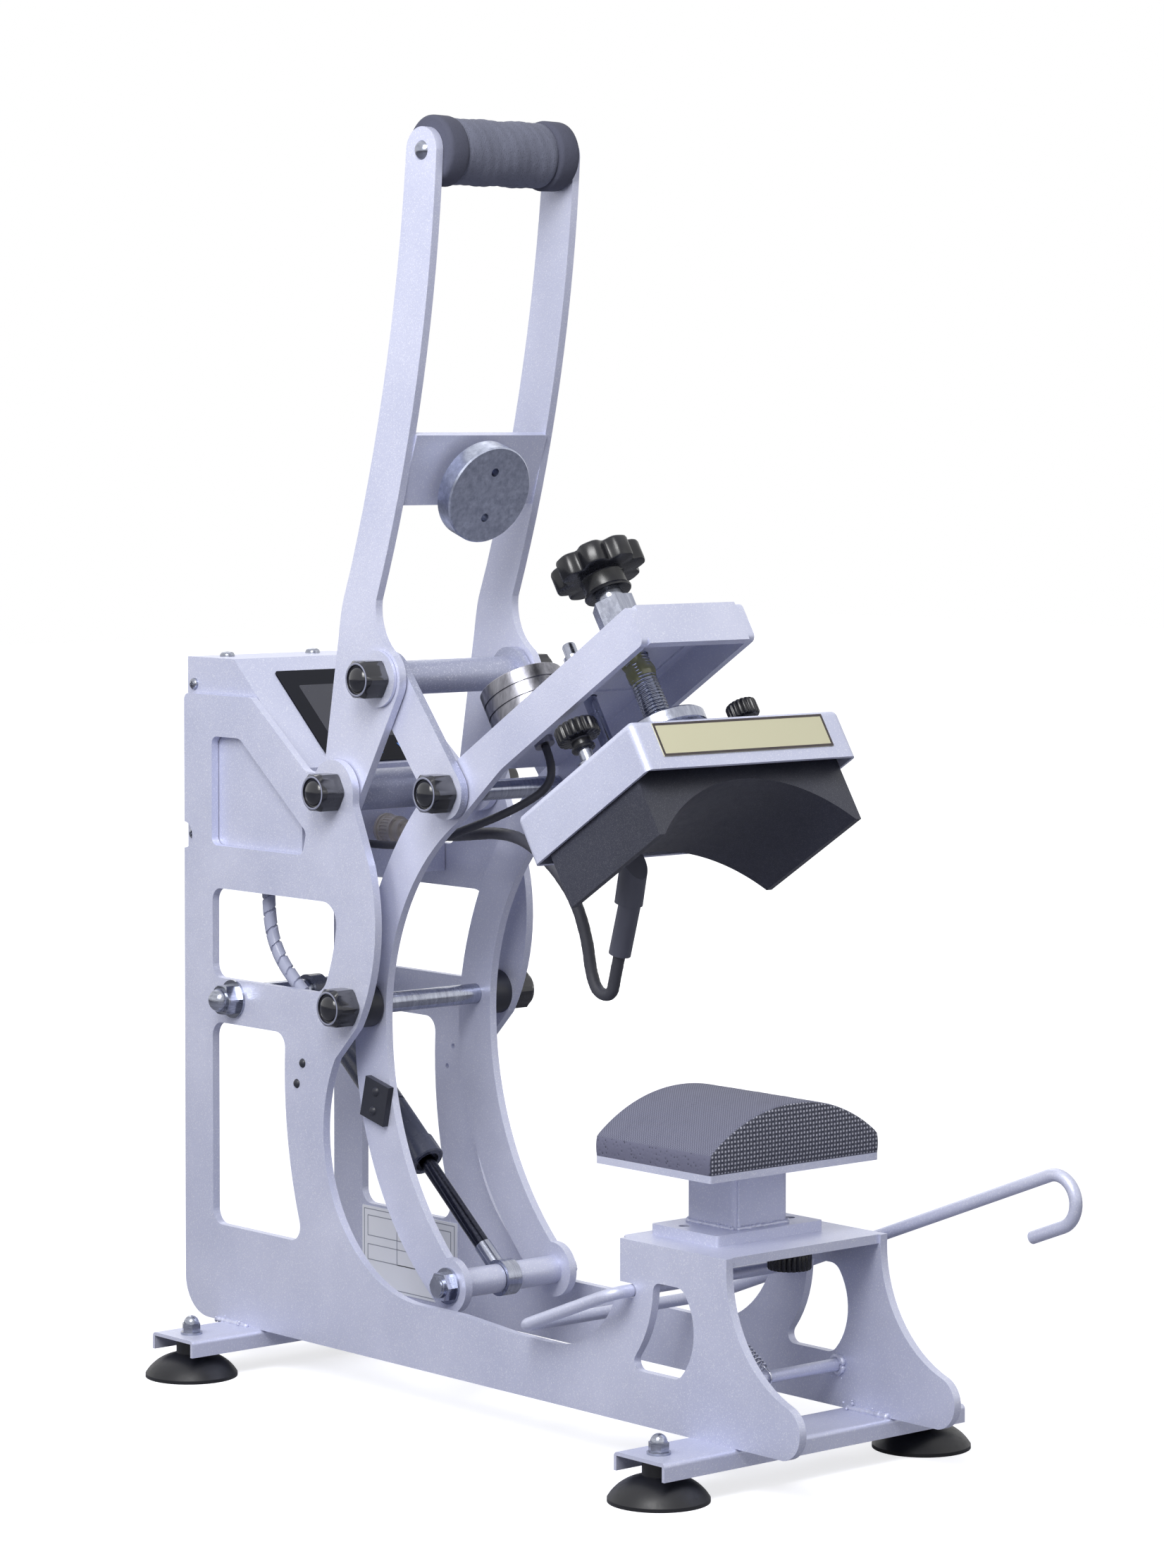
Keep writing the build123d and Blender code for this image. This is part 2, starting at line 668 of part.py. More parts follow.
# The wrap ends short of the sensor, and the two bare wires go on
loomShare = 0.74
loomPath = route("sensor loom", loomPoints)
keep("sensor_loom", tubeAlong(loomPath.trim(0, loomShare), loomRadius) + tubeAlong(loomPath, loomLeadRadius))

# Bare plate on the inner face of the right frame plate
plateRear, plateFront, plateLow, plateHigh = -131.4, -38.7, 31.0, 82.0
keep("blank_plate", block(frameInner - 0.8, frameInner, plateRear, plateFront, plateLow, plateHigh))

# Lower platen: base with its clamp studs, square post, steel plate and foam pad
baseTop = tableTop + baseThick + baseGap
platenBase = block(-baseHalf, baseHalf, platenAt - baseDepth / 2, platenAt + baseDepth / 2, tableTop, baseTop)
platenBase = fillet(platenBase.edges().filter_by(Axis.Z), 2.0)
postBore = postSide - 2 * postWall
postFace = RectangleRounded(postSide, postSide, 4.0) - RectangleRounded(postBore, postBore, 1.8)
post = extrude(Plane.XY.offset(baseTop) * (Pos(0, -platenAt) * postFace), amount=postTop - baseTop)
platenBase = platenBase + post
clampSpots = ((-clampAcross, platenAt - clampOffset), (clampAcross, platenAt + clampOffset))
for x, f in clampSpots:
    platenBase = platenBase - upright(x, f, clampStud + runningFit, tableTop, baseTop)
keep("platen_base", platenBase)
padPlate = block(-padPlateHalf, padPlateHalf, platenAt - padPlateDepth / 2, platenAt + padPlateDepth / 2,
                 postTop, postTop + padPlateThick)
keep("platen_plate", fillet(padPlate.edges().filter_by(Axis.Z), 1.5))
padLow = postTop + padPlateThick
padEdges = Polyline((padPlateHalf, padLow + padSide), (padPlateHalf, padLow), (-padPlateHalf, padLow),
                    (-padPlateHalf, padLow + padSide)).edges()
padEdges += ThreePointArc((-padPlateHalf, padLow + padSide), (0, padLow + padCrown),
                          (padPlateHalf, padLow + padSide)).edges()
pad = extrude(Plane.XZ.offset(platenAt - padPlateDepth / 2) * make_face(padEdges), amount=padPlateDepth)
keep("platen_pad", pad)


def lobedKnob(radius, lobes, high, hubRadius, hubHigh, bore):
    """A hand knob along Z from its hub's foot at z = 0: hub below, scalloped grip above."""
    low = (Align.CENTER, Align.CENTER, Align.MIN)
    grip = Cylinder(radius, high, align=low)
    grip = chamfer(grip.edges().filter_by(GeomType.CIRCLE), radius * 0.07)
    for n in range(lobes):
        scallop = Pos(radius * 1.08, 0, high / 2) * Cylinder(radius * 0.22, high * 2)
        grip = grip - Rot(0, 0, 360 * n / lobes) * scallop
    body = Cone(hubRadius, hubRadius * 0.84, hubHigh, align=low) + Pos(0, 0, hubHigh) * grip
    return body - Cylinder(bore, hubHigh + high * 0.5, align=low)


clampKnobTop = tableTop - plateThick - softGap
clampKnobRadius = 12.0
clampKnobHigh = 9.5


def clampKnob(x, f):
    """A knurled thumb knob under the table, with its stud up through the slot into the base."""
    grip = Cylinder(clampKnobRadius, clampKnobHigh, align=(Align.CENTER, Align.CENTER, Align.MAX))
    grip = chamfer(grip.edges().filter_by(GeomType.CIRCLE), 0.8)
    for n in range(20):
        grip = grip - Rot(0, 0, 18 * n) * Pos(clampKnobRadius + 0.3, 0, 0) * Cylinder(0.9, 3 * clampKnobHigh)
    stud = Cylinder(clampStud, baseTop - 0.8 - clampKnobTop, align=(Align.CENTER, Align.CENTER, Align.MIN))
    return Pos(x, -f, clampKnobTop) * (grip + stud)


keep("clamp_knob_left", clampKnob(*clampSpots[0]))
keep("clamp_knob_right", clampKnob(*clampSpots[1]))

# Cap clamp lever: pivot bar, a bent rod for the side arms, tail and hooked handle, and the spring's lug
hookBend = 14.0
hookReach = 8.0
hookReturn = 24.0
tailReach = 81.0
leverBend = 8.0
weldGap = 3.7
weldNeck = 0.3
weldDeep = 2.3


def leverHook():
    """The bent rod: pivot bar, left arm, tail, right arm and the hook at its front."""
    length = hypot(leverHookAt[0] - leverAt[0], leverHookAt[1] - leverAt[1]) + hookReach
    tail = along(leverAt, leverHookAt, -tailReach)
    bendStart = along(leverAt, leverHookAt, length)
    bendMiddle = along(leverAt, leverHookAt, length + hookBend, -hookBend)
    bendEnd = along(leverAt, leverHookAt, length, -2 * hookBend)
    tip = along(leverAt, leverHookAt, length - hookReturn, -2 * hookBend)
    loop = FilletPolyline(
        spot(leverRight - weldGap, *leverAt), spot(leverLeft, *leverAt), spot(leverLeft, *tail),
        spot(leverRight, *tail), spot(leverRight, *leverHookAt), radius=leverBend)
    hook = [spot(leverRight, *point) for point in (leverHookAt, bendStart, bendMiddle, bendEnd, tip)]
    handle = [Line(hook[0], hook[1]), ThreePointArc(hook[1], hook[2], hook[3]), Line(hook[3], hook[4])]
    path = Wire(loop.edges() + [piece.edge() for piece in handle])
    return sweep(Plane(path @ 0, z_dir=path % 0) * Circle(leverRodRadius), path=path)


lugHalf = 1.5
lugWide = 9.0
lugHole = 2.2
lug = across(
    fillet(outline((leverAt[0] - lugWide, lugAt[1] - 7.0), (leverAt[0] + lugWide, lugAt[1] - 7.0),
                   (leverAt[0] + lugWide, leverAt[1]), (leverAt[0] - lugWide, leverAt[1])).vertices(), 2.0)
    - disc((lugAt[0], lugAt[1] - springWire - 0.3), lugHole), -lugHalf, lugHalf)
weld = rod(leverAt, leverRodRadius - weldNeck, leverRight - weldGap - weldDeep, leverRight - weldNeck)
lever = leverHook() + weld + lug

keep("clamp_lever", lever)

# Gas spring: cylinder with its rear eye, and the rod with its piston and front eye
gasWay = (armEndAt[0] - gasRearAt[0], armEndAt[1] - gasRearAt[1])
gasLength = hypot(*gasWay)
gasLean = degrees(atan2(gasWay[1], gasWay[0]))
cylinderRadius = 10.0
cylinderStart = 14.0
cylinderEnd = 144.0
gasWall = 1.5
rodRadius = 4.7
guideLong = 8.0
eyeRadius = 9.0
pistonLong = 8.0
endCapProud = 1.0
endCapLong = 14.0
endFitting = 25.0
frontEyeDrift = 2.3


def gasPlace(part):
    """Turns a piece drawn along +Z from the rear eye to the gas spring's line."""
    axis = Vector(0, -gasWay[0], gasWay[1])
    return Plane(origin=(0, -gasRearAt[0], gasRearAt[1]), x_dir=(1, 0, 0), z_dir=axis).location * part


def tube(radius, low, high):
    return Pos(0, 0, (low + high) / 2) * Cylinder(radius, high - low)


def eye(at, radius, bore, half):
    """A flat eye across X at a height along the spring."""
    ring = Cylinder(radius, 2 * half) - Cylinder(bore, 2 * half)
    return Pos(0, 0, at) * Rot(0, 90, 0) * ring


cylinder = tube(cylinderRadius, cylinderStart, cylinderEnd)
cylinder = chamfer(cylinder.edges().filter_by(GeomType.CIRCLE).sort_by(Axis.Z)[0], 2.0)
endCap = tube(cylinderRadius + endCapProud, cylinderEnd - endCapLong, cylinderEnd)
cylinder = cylinder + chamfer(endCap.edges().filter_by(GeomType.CIRCLE), endCapProud * 0.8)
cylinder = cylinder - tube(cylinderRadius - gasWall, cylinderStart + 3, cylinderEnd - guideLong)
cylinder = cylinder - tube(rodRadius + runningFit, cylinderEnd - guideLong - 1, cylinderEnd)
cylinder = cylinder - tube(cylinderRadius - 2.5, cylinderEnd - 3, cylinderEnd)
seamAt = cylinderEnd - 45.0
seam = tube(cylinderRadius + 1, seamAt, seamAt + 1.2) - tube(cylinderRadius - 0.6, seamAt, seamAt + 1.2)
cylinder = cylinder - seam
neck = tube(4.5, eyeRadius - 2, cylinderStart)
cylinder = cylinder + neck - Rot(0, 90, 0) * Cylinder(shaftRadius + runningFit, 40)
cylinder = cylinder + eye(0, eyeRadius + 1.5, shaftRadius + runningFit, gasEyeHalf)
keep("gas_cylinder", gasPlace(cylinder))

pistonAt = cylinderStart + 3 + 52.0
gasRod = tube(rodRadius, pistonAt, gasLength - endFitting)
gasRod = gasRod + tube(cylinderRadius - gasWall - runningFit, pistonAt, pistonAt + pistonLong)
keep("gas_rod", gasPlace(gasRod))
frontBolt = 5.0
frontEyeBore = frontBolt + frontEyeDrift + 0.3
fitting = tube(5.2, gasLength - endFitting, gasLength - eyeRadius)
fitting = fitting - Pos(0, 0, gasLength) * Rot(0, 90, 0) * Cylinder(frontEyeBore + 1, 60)
fitting = fitting + eye(gasLength, frontEyeBore + 3.0, frontEyeBore, gasEyeHalf)
keep("gas_rod_end", gasPlace(fitting))


# Arm: two cut plates, the folded cover between them, and what they carry
def armPlate():
    e = armEndAt
    boss = 16.0
    c = linkEndAt
    face = outline(
        (13.8, 214.0),
        ((27.1, 150.0), (e[0] - 1.5, e[1] + boss)),
        ((e[0] + boss, e[1]), (e[0] - 11.0, e[1] - 11.6)),
        ((-2.3, 143.0), (-15.2, 222.0)),
        ((1.6, 285.0), (62.0, 365.0)),
        lifted((armFront, channelHigh)),
        lifted((armFront, channelLow)),
        lifted((177.0, channelLow)),
        (c[0] + 5.0, c[1] - 16.6),
        ((30.0, 287.0), (13.8, 214.0)),
    )
    face = soften(face, 4.0, lifted((armFront, channelHigh)), lifted((armFront, channelLow)))
    face = soften(face, 60.0, lifted((177.0, channelLow)))
    for at, radius in ((shaftAt, shaftRadius), (linkEndAt, shaftRadius), (armEndAt, frontBolt)):
        face = face - disc(at, radius + runningFit)
    return across(face, armInner, armOuter)


rightArm = armPlate()
keep("arm_plates", *both(rightArm))

coverRear = 139.0
coverSheet = block(-armInner, armInner, coverRear, armFront, channelHigh - plateThick, channelHigh)
coverSheet = coverSheet + block(-armInner, armInner, armFront - plateThick, armFront, channelLow, channelHigh)
screwRadius = 7.9
bushTop = 343.0
bushFlats = 22.0
guideAt = 222.0
guideRadius = 4.0
guideBushRadius = 5.6
magnetHole = 6.0
for f, radius in ((screwAt, screwRadius + 0.2), (guideAt, guideBushRadius - 1), (magnetAt, magnetHole)):
    coverSheet = coverSheet - upright(0, f, radius, channelHigh - plateThick, channelHigh)
keep("arm_cover", lift(coverSheet))
bushFace = Pos(0, -screwAt) * RegularPolygon(bushFlats / 2, 6, major_radius=False)
bush = extrude(Plane.XY.offset(channelHigh) * bushFace, amount=bushTop - channelHigh)
bush = bush - upright(0, screwAt, screwRadius + runningFit, channelHigh, bushTop)
guideBush = upright(0, guideAt, guideBushRadius, channelHigh, channelHigh + 22.0)
guideBush = guideBush - upright(0, guideAt, guideRadius + runningFit, channelHigh, channelHigh + 22.0)
keep("arm_bushes", lift(bush), lift(guideBush))

grooveDeep, grooveWide = 0.8, 1.2
magnet = upright(0, magnetAt, magnetRadius, channelHigh, magnetTop)
for n in range(3):
    z = channelHigh + 7.0 + 8.0 * n
    groove = upright(0, magnetAt, magnetRadius + 1, z, z + grooveWide)
    magnet = magnet - (groove - upright(0, magnetAt, magnetRadius - grooveDeep, z, z + grooveWide))
magnet = chamfer(magnet.edges().filter_by(GeomType.CIRCLE).sort_by(SortBy.RADIUS)[-1:], 0.4)
magnet = magnet + upright(0, magnetAt, magnetHole - runningFit, channelHigh - plateThick - 4.0, channelHigh)
keep("electromagnet", lift(magnet))

linkReach = linkOuter + softGap + capLength - 4.0
keep("link_pivot_bolt", rod(linkEndAt, shaftRadius, -linkReach, linkReach))
linkNut = capNut(linkEndAt, linkOuter + softGap)
linkNut = linkNut - rod(linkEndAt, shaftRadius + runningFit, 0, linkReach + 0.2)
keep("link_cap_nuts", *both(linkNut))
endSpacerRadius = 8.3
endSpacer = rod(armEndAt, endSpacerRadius, gasEyeHalf + softGap, armInner)
endSpacer = endSpacer - rod(armEndAt, frontBolt + runningFit, 0, armOuter)
keep("arm_spacer_tubes", *both(endSpacer))
endReach = armOuter + 9.0
endNut = lockNut(armEndAt, armOuter, 15.0, 10.5)
endNut = endNut - rod(armEndAt, frontBolt + runningFit, 0, armOuter + 12.0)
keep("arm_end_bolt", rod(armEndAt, frontBolt, -endReach, endReach), *both(endNut))

blockWide, blockLong, blockThick = 22.0, 24.0, 4.0
tiltedBlock = Rot(magnetBlockTilt, 0, 0) * Box(blockThick, blockWide, blockLong)
sensorMagnet = Pos(-armOuter - blockThick / 2, -magnetBlockAt[0], magnetBlockAt[1]) * tiltedBlock
for rise in (-6.0, 6.0):
    s, c = sin(radians(magnetBlockTilt)), cos(radians(magnetBlockTilt))
    seat = Plane(origin=(-armOuter - blockThick, -magnetBlockAt[0] - rise * s, magnetBlockAt[1] + rise * c),
                 x_dir=(0, 1, 0), z_dir=(-1, 0, 0))
    sensorMagnet = sensorMagnet + screwHead(seat, 2.8, 1.8)
keep("sensor_magnet", sensorMagnet)

# Heating head, drawn level: folded housing, top plate with the screw's flange, block, guide pin
housingRear, housingFront = screwAt - housingDepth / 2, screwAt + housingDepth / 2
housing = block(-housingHalf, housingHalf, housingRear, housingFront, housingLow, housingHigh)
housing = fillet(housing.edges().filter_by(Axis.Z) + housing.edges().group_by(Axis.Z)[-1], 4.0)
housing = housing - block(-housingHalf + housingWall, housingHalf - housingWall, housingRear + housingWall,
                          housingFront - housingWall, housingLow, housingHigh - housingWall)
keep("head_housing", lift(housing))
topThick = 3.0
flangeHigh = 7.0
flangeRadius = 22.0
topHalf = 60.0
topDepth = 74.0
topPlate = block(-topHalf, topHalf, screwAt - topDepth / 2, screwAt + topDepth / 2,
                 housingHigh, housingHigh + topThick)
topPlate = fillet(topPlate.edges().filter_by(Axis.Z), 5.0)
flange = upright(0, screwAt, flangeRadius, housingHigh + topThick, housingHigh + topThick + flangeHigh)
flange = chamfer(flange.edges().filter_by(GeomType.CIRCLE).sort_by(Axis.Z)[-1], 1.0)
screwFoot = housingHigh + topThick + 1.0
topPlate = topPlate + flange - upright(0, screwAt, screwRadius + runningFit, screwFoot, housingHigh + 20)
keep("head_top_plate", lift(topPlate))
guideTop = 342.0
guidePin = upright(0, guideAt, guideRadius, housingHigh, guideTop)
guidePin = guidePin + upright(0, guideAt, guideRadius + 3.0, housingHigh, housingHigh + topThick - 0.5)

arch = (archHalf ** 2 + (archTop - blockLow) ** 2) / (2 * (archTop - blockLow))
heater = block(-blockHalf, blockHalf, screwAt - blockDepth / 2, screwAt + blockDepth / 2,
               blockLow, housingHigh - housingWall)
heater = heater - Pos(0, -screwAt, archTop - arch) * Rot(90, 0, 0) * Cylinder(arch, 2 * blockDepth)
keep("heating_block", lift(heater))
labelHalf, labelLow, labelHigh = 62.9, 217.0, 237.0
keep("label_plate", lift(block(-labelHalf, labelHalf, housingFront, housingFront + 0.6, labelLow, labelHigh)))

# Guide pin and the two clamp studs that stand on the head
studAcross = 40.0
studOffset = 23.5
studRadius = 4.0
studTop = housingHigh + topThick + 27.0
thumbLow = housingHigh + topThick + 15.0
thumbRadius = 12.5
thumbHigh = 12.0
studSpots = ((-studAcross, screwAt - studOffset), (studAcross, screwAt + studOffset))
studs = [upright(x, f, studRadius, housingHigh + topThick, studTop) for x, f in studSpots]
keep("head_pins", lift(guidePin), *[lift(stud) for stud in studs])


def thumbKnob(x, f):
    knob = lobedKnob(thumbRadius, 10, thumbHigh - 4.0, thumbRadius * 0.6, 4.0, studRadius + runningFit)
    knob = knob - upright(0, 0, studRadius + runningFit, 0, studTop - thumbLow + 0.5)
    return lift(Pos(x, -f, thumbLow) * knob)


keep("thumb_knob_left", thumbKnob(*studSpots[0]))
keep("thumb_knob_right", thumbKnob(*studSpots[1]))


# Head cable: sleeve and boot on the block's rear face, then the loop and the run back to the connector
def bar(start, end, radius):
    way = end - start
    return Plane(origin=start, z_dir=way) * extrude(Circle(radius), amount=way.length)


cableX = -15.0
bootRadius = 8.0
bootGap = 0.9
sleeveRadius = 6.3
bootStart = spot(cableX, 206.0, 344.0)
bootEnd = spot(cableX, 197.0, 301.0)
sleeveStart = spot(cableX, 200.0, 307.8)
sleeveEnd = spot(cableX, 189.5, 272.0)
boot = bar(bootStart, bootEnd, bootRadius) + bar(sleeveStart, sleeveEnd, sleeveRadius)
blockRoom = lift(block(-blockHalf, blockHalf, screwAt - blockDepth / 2, screwAt + blockDepth / 2,
                       blockLow, housingHigh + headTravel))
padRear = platenAt - padPlateDepth / 2
padRoom = lift(block(-padPlateHalf, padPlateHalf, padRear - bootGap, platenAt,
                     padLow, padLow + padCrown + headTravel + bootGap))
keep("strain_relief", boot - blockRoom - padRoom)
headCablePoints = [
    spot(connectorAt[0], connectorNose, connectorAt[1]),
    spot(connectorAt[0], -8.0, connectorAt[1]),
    spot(4.0, 16.0, 325.5),
    spot(-2.0, 44.0, 328.5),
    spot(-8.0, 74.0, 332.0),
    spot(-13.0, 103.0, 331.0),
    spot(-15.5, 130.0, 320.0),
    spot(-15.5, 152.0, 301.0),
    spot(cableX, 162.0, 278.0),
    spot(cableX, 165.0, 260.0),
    spot(cableX, 171.0, 248.5),
    spot(cableX, 183.0, 248.0),
    sleeveEnd + (sleeveEnd - sleeveStart).normalized() * 13.0,
    sleeveEnd,
]
keep("head_cable", cable("head cable", headCableRadius, headCablePoints))


def armSpot(x, f, z):
    """A point drawn with the head level, turned to the open arm."""
    return spot(x, *lifted((f, z)))


magnetFoot = channelHigh - plateThick - 4.0
magnetCablePoints = [
    spot(magnetExitAt[0], boxFront, magnetExitAt[1]),
    spot(magnetExitAt[0] - 1.0, -28.0, magnetExitAt[1]),
    spot(-16.0, -6.0, 319.5),
    spot(-19.0, 17.0, 322.0),
    spot(-20.0, 40.0, 327.0),
    spot(-19.0, 61.0, 334.0),
    armSpot(-16.0, 128.0, 281.0),
    armSpot(-9.0, 147.0, 279.0),
    armSpot(-2.0, 165.0, 280.0),
    armSpot(0.0, magnetAt, 289.0),
    armSpot(0.0, magnetAt, magnetFoot),
]
keep("magnet_cable", cable("magnet cable", magnetCableRadius, magnetCablePoints))

# Pressure screw and its knob, which travel with the head and turn in the arm's long nut
knobLow = bushTop + headTravel + 1.0
hubHigh = 13.0
gripHigh = 20.0
knobRadius = 33.5
screwTop = knobLow + hubHigh
screwBar = upright(0, screwAt, screwRadius, screwFoot, screwTop)
screwBar = chamfer(screwBar.edges().filter_by(GeomType.CIRCLE), 1.0)
keep("pressure_screw", lift(screwBar))
knob = lobedKnob(knobRadius, 9, gripHigh, 17.0, hubHigh, screwRadius + runningFit)
knob = knob - Cylinder(screwRadius + runningFit, hubHigh + 0.4, align=(Align.CENTER, Align.CENTER, Align.MIN))
keep("pressure_knob", lift(Pos(0, -screwAt, knobLow) * knob))


# Handle: two cut plates, pivot tube, cross plate with the catch disc, and the foam grip on its bar
gripAt = (62.5, 724.0)
gripEnd = 13.5
pinSlack = 4.4


def handlePlate():
    a, b, g = handleAt, linkTopAt, gripAt
    aBoss, bBoss = 17.0, 19.0
    face = outline(
        (g[0] - gripEnd - 0.5, g[1]),
        ((26.4, 586.0), (-3.3, 484.5)),
        (-12.0, 462.0),
        (a[0] - aBoss, a[1] + 2.0),
        ((a[0] + 1.0, a[1] - aBoss), (a[0] + aBoss * 0.877, a[1] - aBoss * 0.48)),
        (b[0] + bBoss * 0.877, b[1] - bBoss * 0.48),
        ((b[0] + bBoss, b[1] + 1.0), (b[0] + 13.0, b[1] + 13.8)),
        ((22.5, 449.0), (20.2, 466.0)),
        ((56.5, 586.0), (g[0] + gripEnd, g[1])),
        ((g[0], g[1] + gripEnd), (g[0] - gripEnd - 0.5, g[1])),
    )
    face = soften(face, 60.0, (-12.0, 462.0))
    face = face - disc(a, shaftRadius + runningFit) - disc(openCentre, openRadius) - disc(g, 3.0 + runningFit)
    return across(face, handleInner, handleOuter)


def linkGeometry():
    """Where the link's top pin wanders in the handle's own frame when every joint keeps a steady ratio."""
    spots = []
    for n in range(29):
        share = n / 28
        h = radians(handleTravel * share)
        arm = radians(armTravel * share)
        c = turned(linkEndAt, shaftAt, arm)
        lean = radians(linkTravel * share)
        b0 = (linkTopAt[0] - linkEndAt[0], linkTopAt[1] - linkEndAt[1])
        b = (c[0] + b0[0] * cos(lean) + b0[1] * sin(lean), c[1] - b0[0] * sin(lean) + b0[1] * cos(lean))
        spots.append(turned(b, handleAt, -h))
    return spots


def turned(point, pivot, angle):
    """A side view point turned forward and down about a pivot."""
    f, z = point[0] - pivot[0], point[1] - pivot[1]
    return (pivot[0] + f * cos(angle) + z * sin(angle), pivot[1] - f * sin(angle) + z * cos(angle))


def closeLink():
    """How far the link turns, and how far its closed top pin misses the handle's."""
    c = turned(linkEndAt, shaftAt, radians(armTravel))
    b = turned(linkTopAt, handleAt, radians(handleTravel))
    start = atan2(linkTopAt[1] - linkEndAt[1], linkTopAt[0] - linkEndAt[0])
    end = atan2(b[1] - c[1], b[0] - c[0])
    miss = hypot(b[0] - c[0], b[1] - c[1]) - hypot(linkTopAt[0] - linkEndAt[0], linkTopAt[1] - linkEndAt[1])
    return degrees(start - end), miss


linkTravel, linkMiss = closeLink()
wander = linkGeometry()
openCentre = (sum(p[0] for p in (min(wander), max(wander))) / 2,
              (min(p[1] for p in wander) + max(p[1] for p in wander)) / 2)
openRadius = max(hypot(p[0] - openCentre[0], p[1] - openCentre[1]) for p in wander) + shaftRadius + softGap
print("link turns", round(linkTravel, 3), "miss", round(linkMiss, 3))
print("open pivot", openCentre, round(openRadius, 2))
rightHandle = handlePlate()
keep("handle_plates", *both(rightHandle))
tubeRadius = 12.0
handleTube = rod(handleAt, tubeRadius, -handleInner, handleInner)
handleTube = handleTube - rod(handleAt, shaftRadius + runningFit, -handleInner, handleInner)
keep("handle_tube", handleTube)

catchLean = radians(90.0 - handleTravel)
faceAt = openedOf((magnetAt, magnetTop + softGap))
discWay = Vector(0, -cos(catchLean), -sin(catchLean))
discBack = Vector(0, -faceAt[0], faceAt[1]) - discWay * discThick
discPlane = Plane(origin=discBack, x_dir=(1, 0, 0), z_dir=discWay)
catch = extrude(discPlane * Circle(discRadius), amount=discThick)
catch = chamfer(catch.edges().filter_by(GeomType.CIRCLE), 0.8)
catchHoles = Pos(0, 14.0) * Circle(2.6) + Pos(0, -14.0) * Circle(2.6)
catch = catch - extrude(discPlane * catchHoles, amount=discThick)
standOff = 5.8
stand = extrude(discPlane.offset(-standOff) * Circle(12.0), amount=standOff)
keep("catch_disc", catch + stand)
crossHigh = 43.0
crossRise = 9.0
crossFace = Pos(0, crossRise) * Rectangle(2 * handleInner, crossHigh)
cross = extrude(discPlane.offset(-standOff - plateThick) * crossFace, amount=plateThick)
keep("cross_plate", cross)

gripBarRadius = 6.0
foamRadius = 19.0
foamCollar = 20.5
collarLong = 15.0
gripBar = rod(gripAt, gripBarRadius, -handleInner, handleInner)
for way in (-1, 1):
    seat = Plane(origin=(way * handleOuter, -gripAt[0], gripAt[1]), x_dir=(0, 1, 0), z_dir=(way, 0, 0))
    shank = rod(gripAt, 3.0, *sorted((way * handleInner, way * handleOuter)))
    gripBar = gripBar + shank + screwHead(seat, 5.6, 3.2)
keep("grip_bar", gripBar)
foam = rod(gripAt, foamRadius, -handleInner + softGap, handleInner - softGap)
collar = rod(gripAt, foamCollar, handleInner - collarLong, handleInner - softGap)
for collar in both(fillet(collar.edges().filter_by(GeomType.CIRCLE), 2.5)):
    foam = foam + collar
foam = foam - rod(gripAt, gripBarRadius + runningFit, -handleInner, handleInner)
keep("grip_foam", foam)


# Link: two plates with round ends, joined by the tube at the top
def linkPlate():
    b, c = linkTopAt, linkEndAt
    width = 15.5
    length = hypot(c[0] - b[0], c[1] - b[1])
    face = outline(
        along(b, c, 0, width),
        (along(b, c, -width, 0), along(b, c, 0, -width)),
        along(b, c, length, -width),
        (along(b, c, length + width, 0), along(b, c, length, width)),
    )
    for at in (b, c):
        face = face - disc(at, shaftRadius + runningFit)
    return across(face, linkInner, linkOuter)


rightLink = linkPlate()
linkTubeRadius = 10.0
linkTube = rod(linkTopAt, linkTubeRadius, -linkInner, linkInner)
linkTube = linkTube - rod(linkTopAt, shaftRadius + runningFit, -linkInner, linkInner)
linkFrame = linkTube + rightLink + mirror(rightLink, about=Plane.YZ)
keep("link_frame", linkFrame)
washerRadius = 16.5
washerThick = 2.0
washerAt = handleOuter + softGap
topReach = washerAt + washerThick + capLength - 4.0
washer = rod(linkTopAt, washerRadius, washerAt, washerAt + washerThick)
washer = washer - rod(linkTopAt, shaftRadius + runningFit, 0, topReach)
keep("link_top_bolt", rod(linkTopAt, shaftRadius, -topReach, topReach), *both(washer))
topNut = capNut(linkTopAt, washerAt + washerThick)
topNut = topNut - rod(linkTopAt, shaftRadius + runningFit, 0, topReach + 0.2)
keep("link_top_nuts", *both(topNut))

# The origin goes to the middle of the whole press's footprint, on the floor
box = Compound([piece for pieces in solids.values() for piece in pieces]).bounding_box()
shift = -(box.min.Y + box.max.Y) / 2
print("shift", round(shift, 4), "box", box.min, box.max)


def stand(point, x=0.0):
    """A side view point in the finished frame, in metres."""
    return [round(v / 1000, 6) for v in (x, -point[0] + shift, point[1])]


print("shaft", stand(shaftAt), "handle", stand(handleAt), "link end", stand(linkEndAt))
print("gas rear", stand(gasRearAt), "lever", stand(leverAt), "magnet", stand(lifted((magnetAt, magnetTop))))
print("screw", stand(lifted((screwAt, housingHigh))))
print("way down", round(-sin(radians(armTravel)), 6), round(-cos(radians(armTravel)), 6))
for x, f in studSpots:
    print("stud", stand(lifted((f, thumbLow)), x))
for x, f in clampSpots:
    print("clamp", stand((f, clampKnobTop), x))
gasEnd = turned(armEndAt, shaftAt, radians(armTravel))
gasTurn = degrees(atan2(gasWay[1], gasWay[0]) - atan2(gasEnd[1] - gasRearAt[1], gasEnd[0] - gasRearAt[0]))
gasStroke = gasLength - hypot(gasEnd[0] - gasRearAt[0], gasEnd[1] - gasRearAt[1])
print("gas turns", round(gasTurn, 3), "stroke", round(gasStroke, 3))
print("gas way", [round(v / gasLength, 6) for v in (-gasWay[0], gasWay[1])])

for name, pieces in solids.items():
    moved = [Pos(0, shift, 0) * piece for piece in pieces]
    shape = moved[0] if len(moved) == 1 else Compound(moved)
    export_step(shape, f"parts/{name}.step")
print(len(solids), "nodes")
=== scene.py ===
import json
import math
import random

